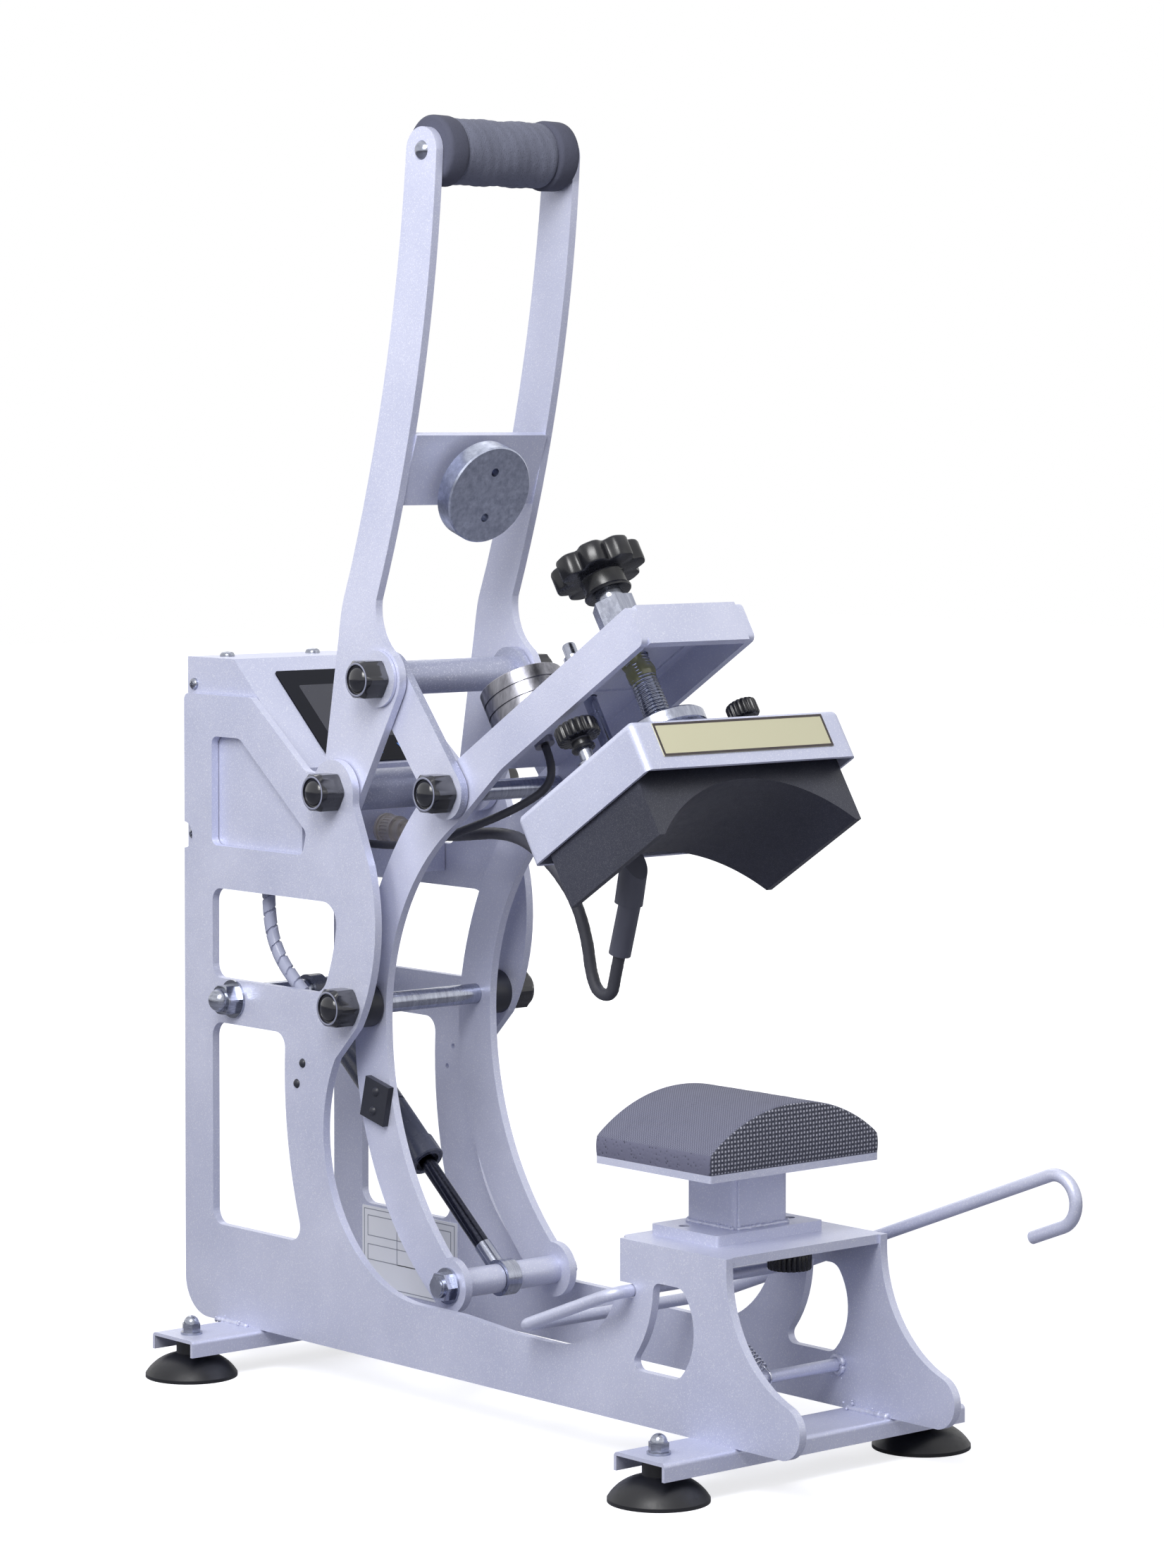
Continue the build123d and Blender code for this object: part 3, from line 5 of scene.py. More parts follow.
import bmesh
import bpy
from mathutils import Matrix, Vector


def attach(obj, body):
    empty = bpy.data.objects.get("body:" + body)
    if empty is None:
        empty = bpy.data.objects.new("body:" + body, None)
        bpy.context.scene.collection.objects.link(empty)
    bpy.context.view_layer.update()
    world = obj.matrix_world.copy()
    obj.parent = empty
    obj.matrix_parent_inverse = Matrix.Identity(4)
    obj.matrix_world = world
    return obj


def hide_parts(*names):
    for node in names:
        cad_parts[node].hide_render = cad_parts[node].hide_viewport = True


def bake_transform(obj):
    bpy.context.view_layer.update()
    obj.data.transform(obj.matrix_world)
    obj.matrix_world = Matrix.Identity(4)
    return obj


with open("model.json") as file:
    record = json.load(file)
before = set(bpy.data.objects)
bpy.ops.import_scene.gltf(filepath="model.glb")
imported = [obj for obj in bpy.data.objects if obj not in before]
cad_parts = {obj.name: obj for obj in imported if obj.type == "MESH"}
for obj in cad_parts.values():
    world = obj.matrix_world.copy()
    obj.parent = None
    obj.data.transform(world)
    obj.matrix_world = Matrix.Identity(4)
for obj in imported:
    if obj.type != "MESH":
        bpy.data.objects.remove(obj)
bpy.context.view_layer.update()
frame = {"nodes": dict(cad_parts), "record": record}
nodes = frame["nodes"]
print("frame loaded,", len(nodes), "nodes")

# The head and the arm's front are drawn level and then turned back about the main shaft
press = {"shaftY": 0.146503, "shaftZ": 0.228, "armTilt": 32.0}


def sideSpot(x, f, z):
    # x across the press, f in front of the shaft and z up, all in millimetres
    return Vector((x / 1000, press["shaftY"] - f / 1000, z / 1000))


def armPoint(x, f, z):
    # the same, for a point given with the head level
    turn = math.radians(press["armTilt"])
    up = z - press["shaftZ"] * 1000
    return sideSpot(x, f * math.cos(turn) - up * math.sin(turn),
                    press["shaftZ"] * 1000 + f * math.sin(turn) + up * math.cos(turn))


def placeObject(name, data):
    thing = bpy.data.objects.new(name, data)
    bpy.context.scene.collection.objects.link(thing)
    return thing


# Camera: fitted to the photograph's plate edges, seen from the press's left front
cameraSetup = {
    "place": (-1.6788, -1.9293, 0.5644), "turn": -40.5582, "pitch": -2.25, "lens": 103.833, "sensor": 36,
    "shift": (0.01888, -0.11232),
}
cameraData = bpy.data.cameras.new("camera")
cameraData.sensor_width = cameraSetup["sensor"]
cameraData.lens = cameraSetup["lens"]
cameraData.shift_x, cameraData.shift_y = cameraSetup["shift"]
camera = placeObject("camera", cameraData)
camera.location = cameraSetup["place"]
camera.rotation_euler = (math.radians(90 + cameraSetup["pitch"]), 0, math.radians(cameraSetup["turn"]))
bpy.context.scene.camera = camera
bpy.context.scene.view_settings.view_transform = "Standard"


# Shader groups shared by the finishes
def newGroup(name, inputs, outputs):
    group = bpy.data.node_groups.new(name, "ShaderNodeTree")
    for label, value in inputs.items():
        kind = "NodeSocketVector" if isinstance(value, tuple) else "NodeSocketFloat"
        group.interface.new_socket(label, in_out="INPUT", socket_type=kind).default_value = value
    for label in outputs:
        group.interface.new_socket(label, in_out="OUTPUT", socket_type="NodeSocketFloat")
    return group, group.nodes.new("NodeGroupInput"), group.nodes.new("NodeGroupOutput")


def mathNode(tree, operation, a, b=None):
    node = tree.nodes.new("ShaderNodeMath")
    node.operation = operation
    for socket, value in zip(node.inputs, (a, b)):
        if value is None:
            continue
        if isinstance(value, (int, float)):
            socket.default_value = value
        else:
            tree.links.new(value, socket)
    return node.outputs[0]


def noiseNode(tree, vector, scale, detail=2.0, roughness=0.5):
    node = tree.nodes.new("ShaderNodeTexNoise")
    node.inputs["Detail"].default_value = detail
    node.inputs["Roughness"].default_value = roughness
    tree.links.new(vector, node.inputs["Vector"])
    if isinstance(scale, (int, float)):
        node.inputs["Scale"].default_value = scale
    else:
        tree.links.new(scale, node.inputs["Scale"])
    return node.outputs["Fac"]


def rangeNode(tree, value, low, high, outLow=0.0, outHigh=1.0):
    node = tree.nodes.new("ShaderNodeMapRange")
    for socket, number in zip(list(node.inputs)[1:5], (low, high, outLow, outHigh)):
        socket.default_value = number
    tree.links.new(value, node.inputs["Value"])
    return node.outputs["Result"]


def objectCoords(tree):
    return tree.nodes.new("ShaderNodeTexCoord").outputs["Object"]


def buildGrain():
    # fine orange-peel height and coarse patches of shade
    group, start, end = newGroup("surfaceGrain", {"Scale": 900.0, "Patch Scale": 14.0},
                                 ("Height", "Patches", "Flakes"))
    coords = objectCoords(group)
    fine = noiseNode(group, coords, start.outputs["Scale"], 3.0, 0.6)
    patches = noiseNode(group, coords, start.outputs["Patch Scale"], 3.0, 0.55)
    cells = group.nodes.new("ShaderNodeTexVoronoi")
    group.links.new(coords, cells.inputs["Vector"])
    group.links.new(mathNode(group, "MULTIPLY", start.outputs["Scale"], 2.0), cells.inputs["Scale"])
    spread = group.nodes.new("ShaderNodeSeparateColor")
    group.links.new(cells.outputs["Color"], spread.inputs[0])
    group.links.new(fine, end.inputs["Height"])
    group.links.new(rangeNode(group, patches, 0.3, 0.7), end.inputs["Patches"])
    group.links.new(rangeNode(group, spread.outputs[0], 0.8, 1.0), end.inputs["Flakes"])
    return group


def buildSmudge():
    # soft handling marks, and a paler share on what faces up: part settled dust, part painted top light
    group, start, end = newGroup("handlingMarks", {"Scale": 30.0}, ("Marks", "DustAndTopLight"))
    coords = objectCoords(group)
    large = noiseNode(group, coords, start.outputs["Scale"], 4.0, 0.65)
    small = noiseNode(group, coords, mathNode(group, "MULTIPLY", start.outputs["Scale"], 6.0), 4.0, 0.7)
    mixed = mathNode(group, "MULTIPLY", large, small)
    group.links.new(rangeNode(group, mixed, 0.22, 0.42), end.inputs["Marks"])
    up = group.nodes.new("ShaderNodeNewGeometry")
    parts = group.nodes.new("ShaderNodeSeparateXYZ")
    group.links.new(up.outputs["Normal"], parts.inputs[0])
    facing = rangeNode(group, parts.outputs["Z"], 0.4, 1.0)
    # what faces up gets the paler colour: part dust, part painted top light
    group.links.new(mathNode(group, "MULTIPLY", facing, large), end.inputs["DustAndTopLight"])
    return group


def buildBrushed():
    # fine lines along one direction: the coordinates are stretched across the other two
    group, start, end = newGroup("brushedLines", {"Stretch": (1.0, 1.0, 1.0), "Scale": 500.0},
                                 ("Height", "Shade"))
    coords = group.nodes.new("ShaderNodeVectorMath")
    coords.operation = "MULTIPLY"
    group.links.new(objectCoords(group), coords.inputs[0])
    group.links.new(start.outputs["Stretch"], coords.inputs[1])
    lines = noiseNode(group, coords.outputs[0], start.outputs["Scale"], 3.0, 0.7)
    group.links.new(lines, end.inputs["Height"])
    group.links.new(rangeNode(group, lines, 0.3, 0.7), end.inputs["Shade"])
    return group


grainGroup = buildGrain()
smudgeGroup = buildSmudge()
brushedGroup = buildBrushed()


def placeGroup(tree, group, **values):
    node = tree.nodes.new("ShaderNodeGroup")
    node.node_tree = group
    for label, value in values.items():
        node.inputs[label.replace("_", " ")].default_value = value
    return node


def mixColours(tree, share, first, second):
    node = tree.nodes.new("ShaderNodeMix")
    node.data_type = "RGBA"
    sockets = [s for s in node.inputs if s.enabled]
    for socket, value in zip(sockets, (share, first, second)):
        if hasattr(value, "is_linked"):
            tree.links.new(value, socket)
        else:
            socket.default_value = value
    return [s for s in node.outputs if s.enabled][0]


def bumpNode(tree, height, strength, distance):
    node = tree.nodes.new("ShaderNodeBump")
    node.inputs["Strength"].default_value = strength
    node.inputs["Distance"].default_value = distance
    tree.links.new(height, node.inputs["Height"])
    return node.outputs["Normal"]


def shade(red, green, blue):
    # an 8-bit screen colour as a linear one
    def linear(v):
        v = v / 255
        return v / 12.92 if v <= 0.04045 else ((v + 0.055) / 1.055) ** 2.4
    return (linear(red), linear(green), linear(blue), 1.0)


def newMaterial(name):
    material = bpy.data.materials.new(name)
    material.use_nodes = True
    tree = material.node_tree
    return material, tree, tree.nodes["Principled BSDF"]


def dressSurface(tree, surface, colour, height, bump, depth):
    tree.links.new(colour, surface.inputs["Base Color"])
    tree.links.new(bumpNode(tree, height, bump, depth), surface.inputs["Normal"])


def roughByMarks(tree, surface, scale, roughness):
    # handled spots shine differently from the rest
    marks = placeGroup(tree, smudgeGroup, Scale=scale)
    tree.links.new(rangeNode(tree, marks.outputs["Marks"], 0.0, 1.0, *roughness), surface.inputs["Roughness"])
    return marks


# Sizes of the marks and patches, how deep each bump goes in metres, and how much the pores and threads show
wear = {
    "paintPatches": 11.0, "paintMarks": 22.0, "paintBump": 0.0004, "flakeColour": (0.95, 0.96, 1.0, 1.0),
    "metalMarks": 60.0, "metalBump": 0.0002, "mouldedPatches": 20.0, "mouldedMarks": 45.0, "mouldedBump": 0.0003,
    "clothMarks": 38.0, "clothBump": 0.0005, "clothThreads": 0.8, "clothWorn": 0.2,
    "foamMarks": 26.0, "foamBump": 0.0006, "foamPores": 0.75, "foamWorn": 0.25, "foamRoughness": 0.92,
}


def paintFinish(name, light, dark, metallic=0.35, roughness=(0.38, 0.5), grain=900.0, bump=0.25, sparkle=0.35):
    # textured powder coat: two close shades, fine peel, small bright flakes
    material, tree, surface = newMaterial(name)
    peel = placeGroup(tree, grainGroup, Scale=grain, Patch_Scale=wear["paintPatches"])
    base = mixColours(tree, peel.outputs["Patches"], shade(*dark), shade(*light))
    flakes = mathNode(tree, "MULTIPLY", peel.outputs["Flakes"], sparkle)
    dressSurface(tree, surface, mixColours(tree, flakes, base, wear["flakeColour"]), peel.outputs["Height"], bump,
                 wear["paintBump"])
    roughByMarks(tree, surface, wear["paintMarks"], roughness)
    surface.inputs["Metallic"].default_value = metallic
    return material


def metalFinish(name, light, dark, stretch, roughness=(0.2, 0.36), scale=500.0, bump=0.12):
    # plated or turned metal with lines along one way
    material, tree, surface = newMaterial(name)
    lines = placeGroup(tree, brushedGroup, Stretch=stretch, Scale=scale)
    base = mixColours(tree, lines.outputs["Shade"], shade(*dark), shade(*light))
    dressSurface(tree, surface, base, lines.outputs["Height"], bump, wear["metalBump"])
    roughByMarks(tree, surface, wear["metalMarks"], roughness)
    surface.inputs["Metallic"].default_value = 1.0
    return material


def mouldedFinish(name, colour, dustAndTopLightColour, roughness=(0.3, 0.45), grain=1500.0, bump=0.1, coat=0.0):
    # moulded plastic, rubber or sleeve: fine grain, and the paler colour on what faces up, part dust and part painted
    # top light
    material, tree, surface = newMaterial(name)
    peel = placeGroup(tree, grainGroup, Scale=grain, Patch_Scale=wear["mouldedPatches"])
    marks = roughByMarks(tree, surface, wear["mouldedMarks"], roughness)
    # the second colour goes on what faces up: part dust, part painted top light
    base = mixColours(tree, marks.outputs["DustAndTopLight"], shade(*colour), shade(*dustAndTopLightColour))
    dressSurface(tree, surface, base, peel.outputs["Height"], bump, wear["mouldedBump"])
    surface.inputs["Coat Weight"].default_value = coat
    return material


def buildLattice():
    # a regular lattice of rounded bumps, across and either along the press or upright
    group, start, end = newGroup("bumpLattice", {"Pitch": 0.0016, "Upright": 0.0}, ("Height", "Beads"))
    parts = group.nodes.new("ShaderNodeSeparateXYZ")
    group.links.new(objectCoords(group), parts.inputs[0])
    upright = start.outputs["Upright"]
    along = mathNode(group, "MULTIPLY", parts.outputs["Y"], mathNode(group, "SUBTRACT", 1.0, upright))
    second = mathNode(group, "ADD", along, mathNode(group, "MULTIPLY", parts.outputs["Z"], upright))
    waves = []
    for value in (parts.outputs["X"], second):
        turns = mathNode(group, "DIVIDE", value, start.outputs["Pitch"])
        waves.append(mathNode(group, "SINE", mathNode(group, "MULTIPLY", turns, 2 * math.pi)))
    product = mathNode(group, "MULTIPLY", *waves)
    group.links.new(rangeNode(group, product, -1.0, 1.0), end.inputs["Height"])
    group.links.new(rangeNode(group, mathNode(group, "ABSOLUTE", product), 0.5, 0.9), end.inputs["Beads"])
    return group


def buildPores():
    # open foam: small round pores of uneven size
    group, start, end = newGroup("foamPores", {"Scale": 600.0}, ("Height", "Pores"))
    coords = objectCoords(group)
    cells = group.nodes.new("ShaderNodeTexVoronoi")
    group.links.new(coords, cells.inputs["Vector"])
    group.links.new(start.outputs["Scale"], cells.inputs["Scale"])
    patches = noiseNode(group, coords, mathNode(group, "MULTIPLY", start.outputs["Scale"], 0.25), 2.0, 0.5)
    depth = mathNode(group, "MULTIPLY", rangeNode(group, cells.outputs["Distance"], 0.05, 0.45), patches)
    group.links.new(depth, end.inputs["Height"])
    group.links.new(rangeNode(group, depth, 0.05, 0.2, 1.0, 0.0), end.inputs["Pores"])
    return group


latticeGroup = buildLattice()
poreGroup = buildPores()


def latticeFinish(name, ground, bead, pitch, upright, roughness, bump, blend):
    # woven or beaded cloth over foam
    material, tree, surface = newMaterial(name)
    threads = placeGroup(tree, latticeGroup, Pitch=pitch, Upright=upright)
    marks = placeGroup(tree, smudgeGroup, Scale=wear["clothMarks"])
    shown = mathNode(tree, "MULTIPLY", threads.outputs[blend], wear["clothThreads"])
    worn = mathNode(tree, "MULTIPLY", marks.outputs["Marks"], wear["clothWorn"])
    threaded = mixColours(tree, shown, shade(*ground), shade(*bead))
    dressSurface(tree, surface, mixColours(tree, worn, threaded, shade(*ground)), threads.outputs["Height"], bump,
                 wear["clothBump"])
    surface.inputs["Roughness"].default_value = roughness
    return material


def foamFinish(name, light, pore, scale, bump):
    # bare foam, its pores paler where it's worn
    material, tree, surface = newMaterial(name)
    pores = placeGroup(tree, poreGroup, Scale=scale)
    marks = placeGroup(tree, smudgeGroup, Scale=wear["foamMarks"])
    shown = mathNode(tree, "MULTIPLY", pores.outputs["Pores"], wear["foamPores"])
    worn = mathNode(tree, "MULTIPLY", marks.outputs["Marks"], wear["foamWorn"])
    dotted = mixColours(tree, shown, shade(*light), shade(*pore))
    dressSurface(tree, surface, mixColours(tree, worn, dotted, shade(*light)), pores.outputs["Height"], bump,
                 wear["foamBump"])
    surface.inputs["Roughness"].default_value = wear["foamRoughness"]
    return material


# Each finish: two colours on the 0 to 255 scale, then what its function takes after them
finishTables = {
    paintFinish: {
        "silverPaint": ((206, 209, 230), (191, 195, 219)),
        # the silver paint darkened for the round tubes: painted shade
        "tubeShadedPaint": ((166, 170, 193), (152, 156, 180)),
        "headPaint": ((202, 206, 228), (190, 194, 218)),
        "blockCoat": ((50, 52, 66), (41, 43, 55), 0.0, (0.4, 0.52), 1800.0, 0.1, 0.06),
    },
    metalFinish: {
        "zincSteel": ((180, 184, 198), (146, 150, 166), (1.0, 0.12, 0.12)),
        "nickelPlate": ((152, 152, 160), (112, 112, 120), (6.0, 6.0, 0.4), (0.28, 0.4), 60.0),
        "turnedDisc": ((196, 202, 220), (156, 162, 182), (1.0, 1.0, 1.0), (0.3, 0.5), 300.0),
        "springWire": ((214, 216, 226), (176, 178, 190), (1.0, 1.0, 1.0), (0.25, 0.4), 900.0),
        "rodBlack": ((64, 66, 78), (40, 42, 52), (1.0, 1.0, 1.0), (0.16, 0.26), 700.0),
        "brightScrew": ((184, 188, 200), (138, 142, 156), (0.2, 0.2, 1.0), (0.2, 0.3), 900.0, 0.05),
    },
    mouldedFinish: {
        # second colour: paler, on what faces up, part dust and part painted top light
        "capPlastic": ((26, 27, 34), (52, 54, 66), (0.16, 0.3), 1500.0, 0.05, 0.3),
        "mattePlastic": ((34, 36, 46), (58, 60, 74), (0.4, 0.55)),
        "footRubber": ((12, 13, 19), (26, 27, 36), (0.42, 0.55), 1200.0, 0.08),
        "cableSleeve": ((58, 59, 68), (82, 83, 94), (0.5, 0.65), 2000.0, 0.2),
        "greySleeve": ((84, 86, 100), (112, 114, 128), (0.35, 0.5)),
        "loomWrap": ((150, 154, 176), (166, 170, 190), (0.35, 0.5)),
        "displayGlass": ((18, 20, 29), (24, 26, 36), (0.12, 0.2), 2500.0, 0.01),
        # lip of the black cap nuts: painted highlight
        "nutLipHighlight": ((124, 127, 146), (134, 137, 156), (0.2, 0.3), 1500.0, 0.02),
        # nickel given a pale colour and little metal: painted sheen in place of its reflection
        "connectorNickelSheen": ((196, 190, 184), (206, 200, 194), (0.16, 0.26), 1500.0, 0.02),
        "labelStock": ((200, 197, 168), (210, 208, 184), (0.35, 0.45), 1500.0, 0.03),
        "plateStock": ((238, 240, 246), (244, 245, 250), (0.35, 0.5), 1500.0, 0.03),
        "boardGreen": ((30, 86, 54), (60, 100, 74), (0.35, 0.5)),
        "gasBlack": ((62, 66, 83), (84, 88, 104), (0.24, 0.36), 1500.0, 0.04, 0.2),
        "glossPlastic": ((14, 15, 21), (26, 27, 38), (0.26, 0.38), 900.0, 0.03),
        "greaseFinish": ((146, 146, 104), (176, 176, 138), (0.1, 0.22), 700.0, 0.3, 0.4),
        "inkFinish": ((52, 44, 46), (70, 62, 62), (0.4, 0.5), 1500.0, 0.02),
        "screenDark": ((38, 40, 52), (44, 46, 60), (0.2, 0.3), 1500.0, 0.01),
        "plateInk": ((150, 153, 166), (160, 163, 176), (0.4, 0.5), 1500.0, 0.02),
        "keyBlue": ((66, 132, 222), (84, 140, 226), (0.3, 0.4), 1500.0, 0.01),
    },
    latticeFinish: {
        "padWeave": ((74, 76, 96), (138, 140, 160), 0.0017, 0.0, 0.75, 0.6, "Height"),
        "padMesh": ((58, 60, 76), (205, 207, 222), 0.0046, 1.0, 0.5, 0.8, "Beads"),
    },
    foamFinish: {
        "padPores": ((100, 101, 122), (24, 25, 32), 420.0, 0.8),
        "collarRubber": ((74, 76, 92), (40, 41, 52), 1500.0, 0.35),
        "gripRubber": ((104, 107, 124), (48, 50, 62), 1100.0, 0.6),
    },
}
finishes = {}
for makeFinish, table in finishTables.items():
    for name, values in table.items():
        finishes[name] = makeFinish(name, *values)
# the connector's nickel keeps little metal, so its pale colour shows as painted sheen; the display glass reflects less
for name, label, value in (("connectorNickelSheen", "Metallic", 0.3), ("displayGlass", "Specular IOR Level", 0.1)):
    finishes[name].node_tree.nodes["Principled BSDF"].inputs[label].default_value = value

slotFinish = {
    "silver_powder_coat": "silverPaint", "silver_powder_coat_head": "headPaint", "zinc_steel": "zincSteel",
    "nickel_plate": "nickelPlate", "turned_aluminium": "turnedDisc", "black_cap_plastic": "capPlastic",
    "black_matte_plastic": "mattePlastic", "foot_rubber": "footRubber", "pad_foam": "padPores",
    "grip_foam": "gripRubber", "block_coating": "blockCoat", "display_glass": "displayGlass",
    "label_stock": "labelStock", "plate_stock": "plateStock", "board_green": "boardGreen",
    "black_cable": "cableSleeve", "grey_sleeve": "greySleeve", "loom_wrap": "loomWrap",
    "spring_steel": "springWire", "black_rod": "rodBlack", "black_barrel": "gasBlack",
}
nodeFinish = {
    # handle_tube takes the silver paint darkened as painted shade
    "foot_nuts": "brightScrew", "gas_anchor": "brightScrew", "handle_tube": "tubeShadedPaint",
    "link_top_bolt": "silverPaint", "box_connector": "connectorNickelSheen",
}
for part in frame["record"]["subparts"]:
    mesh = nodes[part["node"]].data
    mesh.materials.clear()
    mesh.materials.append(finishes[nodeFinish.get(part["node"], slotFinish[part["material_slot"]])])

# The link's tube is drawn darker than the plates that it joins: the same silver paint, darkened as painted shade
linkTubeShade = {"tubeHalf": 0.0478}
link = nodes["link_frame"]
link.data.materials.append(finishes["tubeShadedPaint"])
for face in link.data.polygons:
    face.material_index = 1 if abs((link.matrix_world @ face.center).x) < linkTubeShade["tubeHalf"] else 0
print("finishes placed")


# Meshes built from rings of points: cords, turned pieces, borders, sheets and soft pieces
def addPiece(name, mesh, finish, body=None, smooth=True, sharp=None, node=None):
    # sharp: edges that turn by more degrees stay hard; node: the solid that the piece stands in for
    mesh.name = name
    mesh.materials.append(finishes[finish])
    for face in mesh.polygons:
        face.use_smooth = smooth
    if sharp:
        mesh.set_sharp_from_angle(angle=math.radians(sharp))
    piece = placeObject(name, mesh)
    if body:
        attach(piece, body)
    if node:
        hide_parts(node)
    return piece


def joinRings(build, rings, wrapped=False):
    # side faces between neighbours, and a cap at each end unless the last ring meets the first
    count = len(rings[0])
    for first, second in zip(rings, rings[1:] + (rings[:1] if wrapped else [])):
        for k in range(count):
            build.faces.new((first[k], first[(k + 1) % count], second[(k + 1) % count], second[k]))
    if not wrapped:
        build.faces.new(list(reversed(rings[0])))
        build.faces.new(rings[-1])


def finishMesh(build):
    bmesh.ops.recalc_face_normals(build, faces=build.faces)
    mesh = bpy.data.meshes.new("rings")
    build.to_mesh(mesh)
    build.free()
    return mesh


def tubesMesh(bodies, wrapped=False):
    # each body is a list of rings of points
    build = bmesh.new()
    for rings in bodies:
        joinRings(build, [[build.verts.new(point) for point in ring] for ring in rings], wrapped)
    return finishMesh(build)


def turnedRing(place, sides, high, reachAt):
    # a ring about the frame's upright line: reachAt(angle) gives each point's distance from it
    ring = []
    for k in range(sides):
        angle = 2 * math.pi * k / sides
        reach = reachAt(angle)
        ring.append(place @ Vector((reach * math.cos(angle), reach * math.sin(angle), high)))
    return ring


def ringFrames(path):
    # a frame at each point of the path that doesn't twist on the way
    frames = []
    side = None
    for n, here in enumerate(path):
        way = (path[min(n + 1, len(path) - 1)] - path[max(n - 1, 0)]).normalized()
        if side is None:
            side = way.orthogonal().normalized()
        side = (side - way * side.dot(way)).normalized()
        frames.append((here, side, way.cross(side)))
    return frames


def ringMesh(path, radiusAt, sides=12):
    # radiusAt(ring number, angle) gives each point's distance from the path
    angles = [2 * math.pi * k / sides for k in range(sides)]
    return tubesMesh([[
        [here + (side * math.cos(angle) + other * math.sin(angle)) * radiusAt(n, angle) for angle in angles]
        for n, (here, side, other) in enumerate(ringFrames(path))]])


def routePath(points, resolution=12):
    # the smooth line that a route's points control, read back from Blender's own spline
    curve = bpy.data.curves.new("route", "CURVE")
    curve.dimensions = "3D"
    spline = curve.splines.new("NURBS")
    spline.points.add(len(points) - 1)
    for point, place in zip(spline.points, points):
        point.co = (*place, 1.0)
    spline.order_u = 3
    spline.use_endpoint_u = True
    spline.resolution_u = resolution
    holder = placeObject("route", curve)
    bpy.context.view_layer.update()
    line = bpy.data.meshes.new_from_object(holder)
    path = [v.co.copy() for v in line.vertices]
    bpy.data.objects.remove(holder)
    bpy.data.meshes.remove(line)
    bpy.data.curves.remove(curve)
    return path


# Cables that cross the arm's hinge, laid in one fixed shape from the frame at the box to the arm further on
headCable = {
    "radius": 0.0035, "ends": (sideSpot(0, -5, 325), sideSpot(0, 120, 325)),
    "points": [sideSpot(*spot) for spot in (
        (8.6, -26.0, 325.0), (8.6, -8.0, 325.0), (4.0, 16.0, 325.5), (-2.0, 44.0, 328.5), (-8.0, 74.0, 332.0),
        (-13.0, 103.0, 331.0), (-15.5, 130.0, 320.0), (-15.5, 152.0, 301.0), (-15.0, 162.0, 278.0),
        (-15.0, 165.0, 260.0), (-15.0, 171.0, 248.5), (-15.0, 183.0, 248.0), (-15.0, 185.84, 259.53),
        (-15.0, 189.5, 272.0))],
}
magnetCable = {
    "radius": 0.0024, "ends": (sideSpot(0, -35, 318), sideSpot(0, 60, 335)),
    "points": [sideSpot(*spot) for spot in (
        (-12.0, -50.0, 318.0), (-13.0, -28.0, 318.0), (-16.0, -6.0, 319.5), (-19.0, 17.0, 322.0),
        (-20.0, 40.0, 327.0), (-19.0, 61.0, 334.0))] + [armPoint(*spot) for spot in (
            (-16.0, 128.0, 281.0), (-9.0, 147.0, 279.0), (-2.0, 165.0, 280.0), (0.0, 174.0, 289.0),
            (0.0, 174.0, 303.0))],
}
cableSides = 14


def cableRipple(radius):
    # a woven sleeve is a little uneven along its length
    return lambda n, angle: radius * (1.0 + 0.02 * math.sin(n * 2.3) + 0.015 * math.sin(6 * angle + n * 0.9))


for name, spec, node in (("headCable", headCable, "head_cable"), ("magnetCable", magnetCable, "magnet_cable")):
    path = routePath(spec["points"])
    mesh = ringMesh(path, cableRipple(spec["radius"]), cableSides)
    cable = addPiece(name, mesh, "cableSleeve", node=node)
    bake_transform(cable)

# The sensor's leads, in spiral wrap for most of their length
sensorLoom = {
    "radius": 0.004, "leadRadius": 0.0022, "wrapShare": 0.74, "wrapPitch": 0.0105, "wrapThick": 0.0005,
    "gapShare": 0.16, "resolution": 40, "sides": 24,
    "points": [sideSpot(*spot) for spot in (
        (-48.0, -92.0, 297.0), (-48.0, -92.0, 272.0), (-47.0, -84.0, 250.0), (-48.0, -62.0, 233.0),
        (-50.0, -44.0, 224.0), (-52.25, -33.7, 211.4), (-52.25, -38.94, 199.5))],
}


def wrapRidge(spec, path):
    # the wrap stands proud except along one narrow winding gap
    steps = [0.0]
    for a, b in zip(path, path[1:]):
        steps.append(steps[-1] + (b - a).length)

    def radiusAt(n, angle):
        if steps[n] > spec["wrapShare"] * steps[-1]:
            return spec["leadRadius"]
        phase = (steps[n] / spec["wrapPitch"] - angle / (2 * math.pi)) % 1.0
        return spec["radius"] - (spec["wrapThick"] * 2.0 if phase < spec["gapShare"] else 0.0)
    return radiusAt


path = routePath(sensorLoom["points"], sensorLoom["resolution"])
loomMesh = ringMesh(path, wrapRidge(sensorLoom, path), sensorLoom["sides"])
loom = addPiece("sensorLoom", loomMesh, "loomWrap", "frame", False, node="sensor_loom")
print("cables laid")


# Frames for pieces drawn in millimetres, with up as the direction that a turned piece grows in
def frameOf(origin, right, up):
    across = up.cross(right)
    turn = Matrix((right, across, up)).transposed().to_4x4()
    return Matrix.Translation(origin) @ turn @ Matrix.Scale(0.001, 4)


sideways = Vector((1, 0, 0))


def armWay(f, z):
    # a direction given with the head level, on the lifted arm
    return (armPoint(0, 100.0 * f, 100.0 * z) - armPoint(0, 0, 0)).normalized()


def armFrame(x, f, z):
    return frameOf(armPoint(x, f, z), sideways, armWay(0, 1))


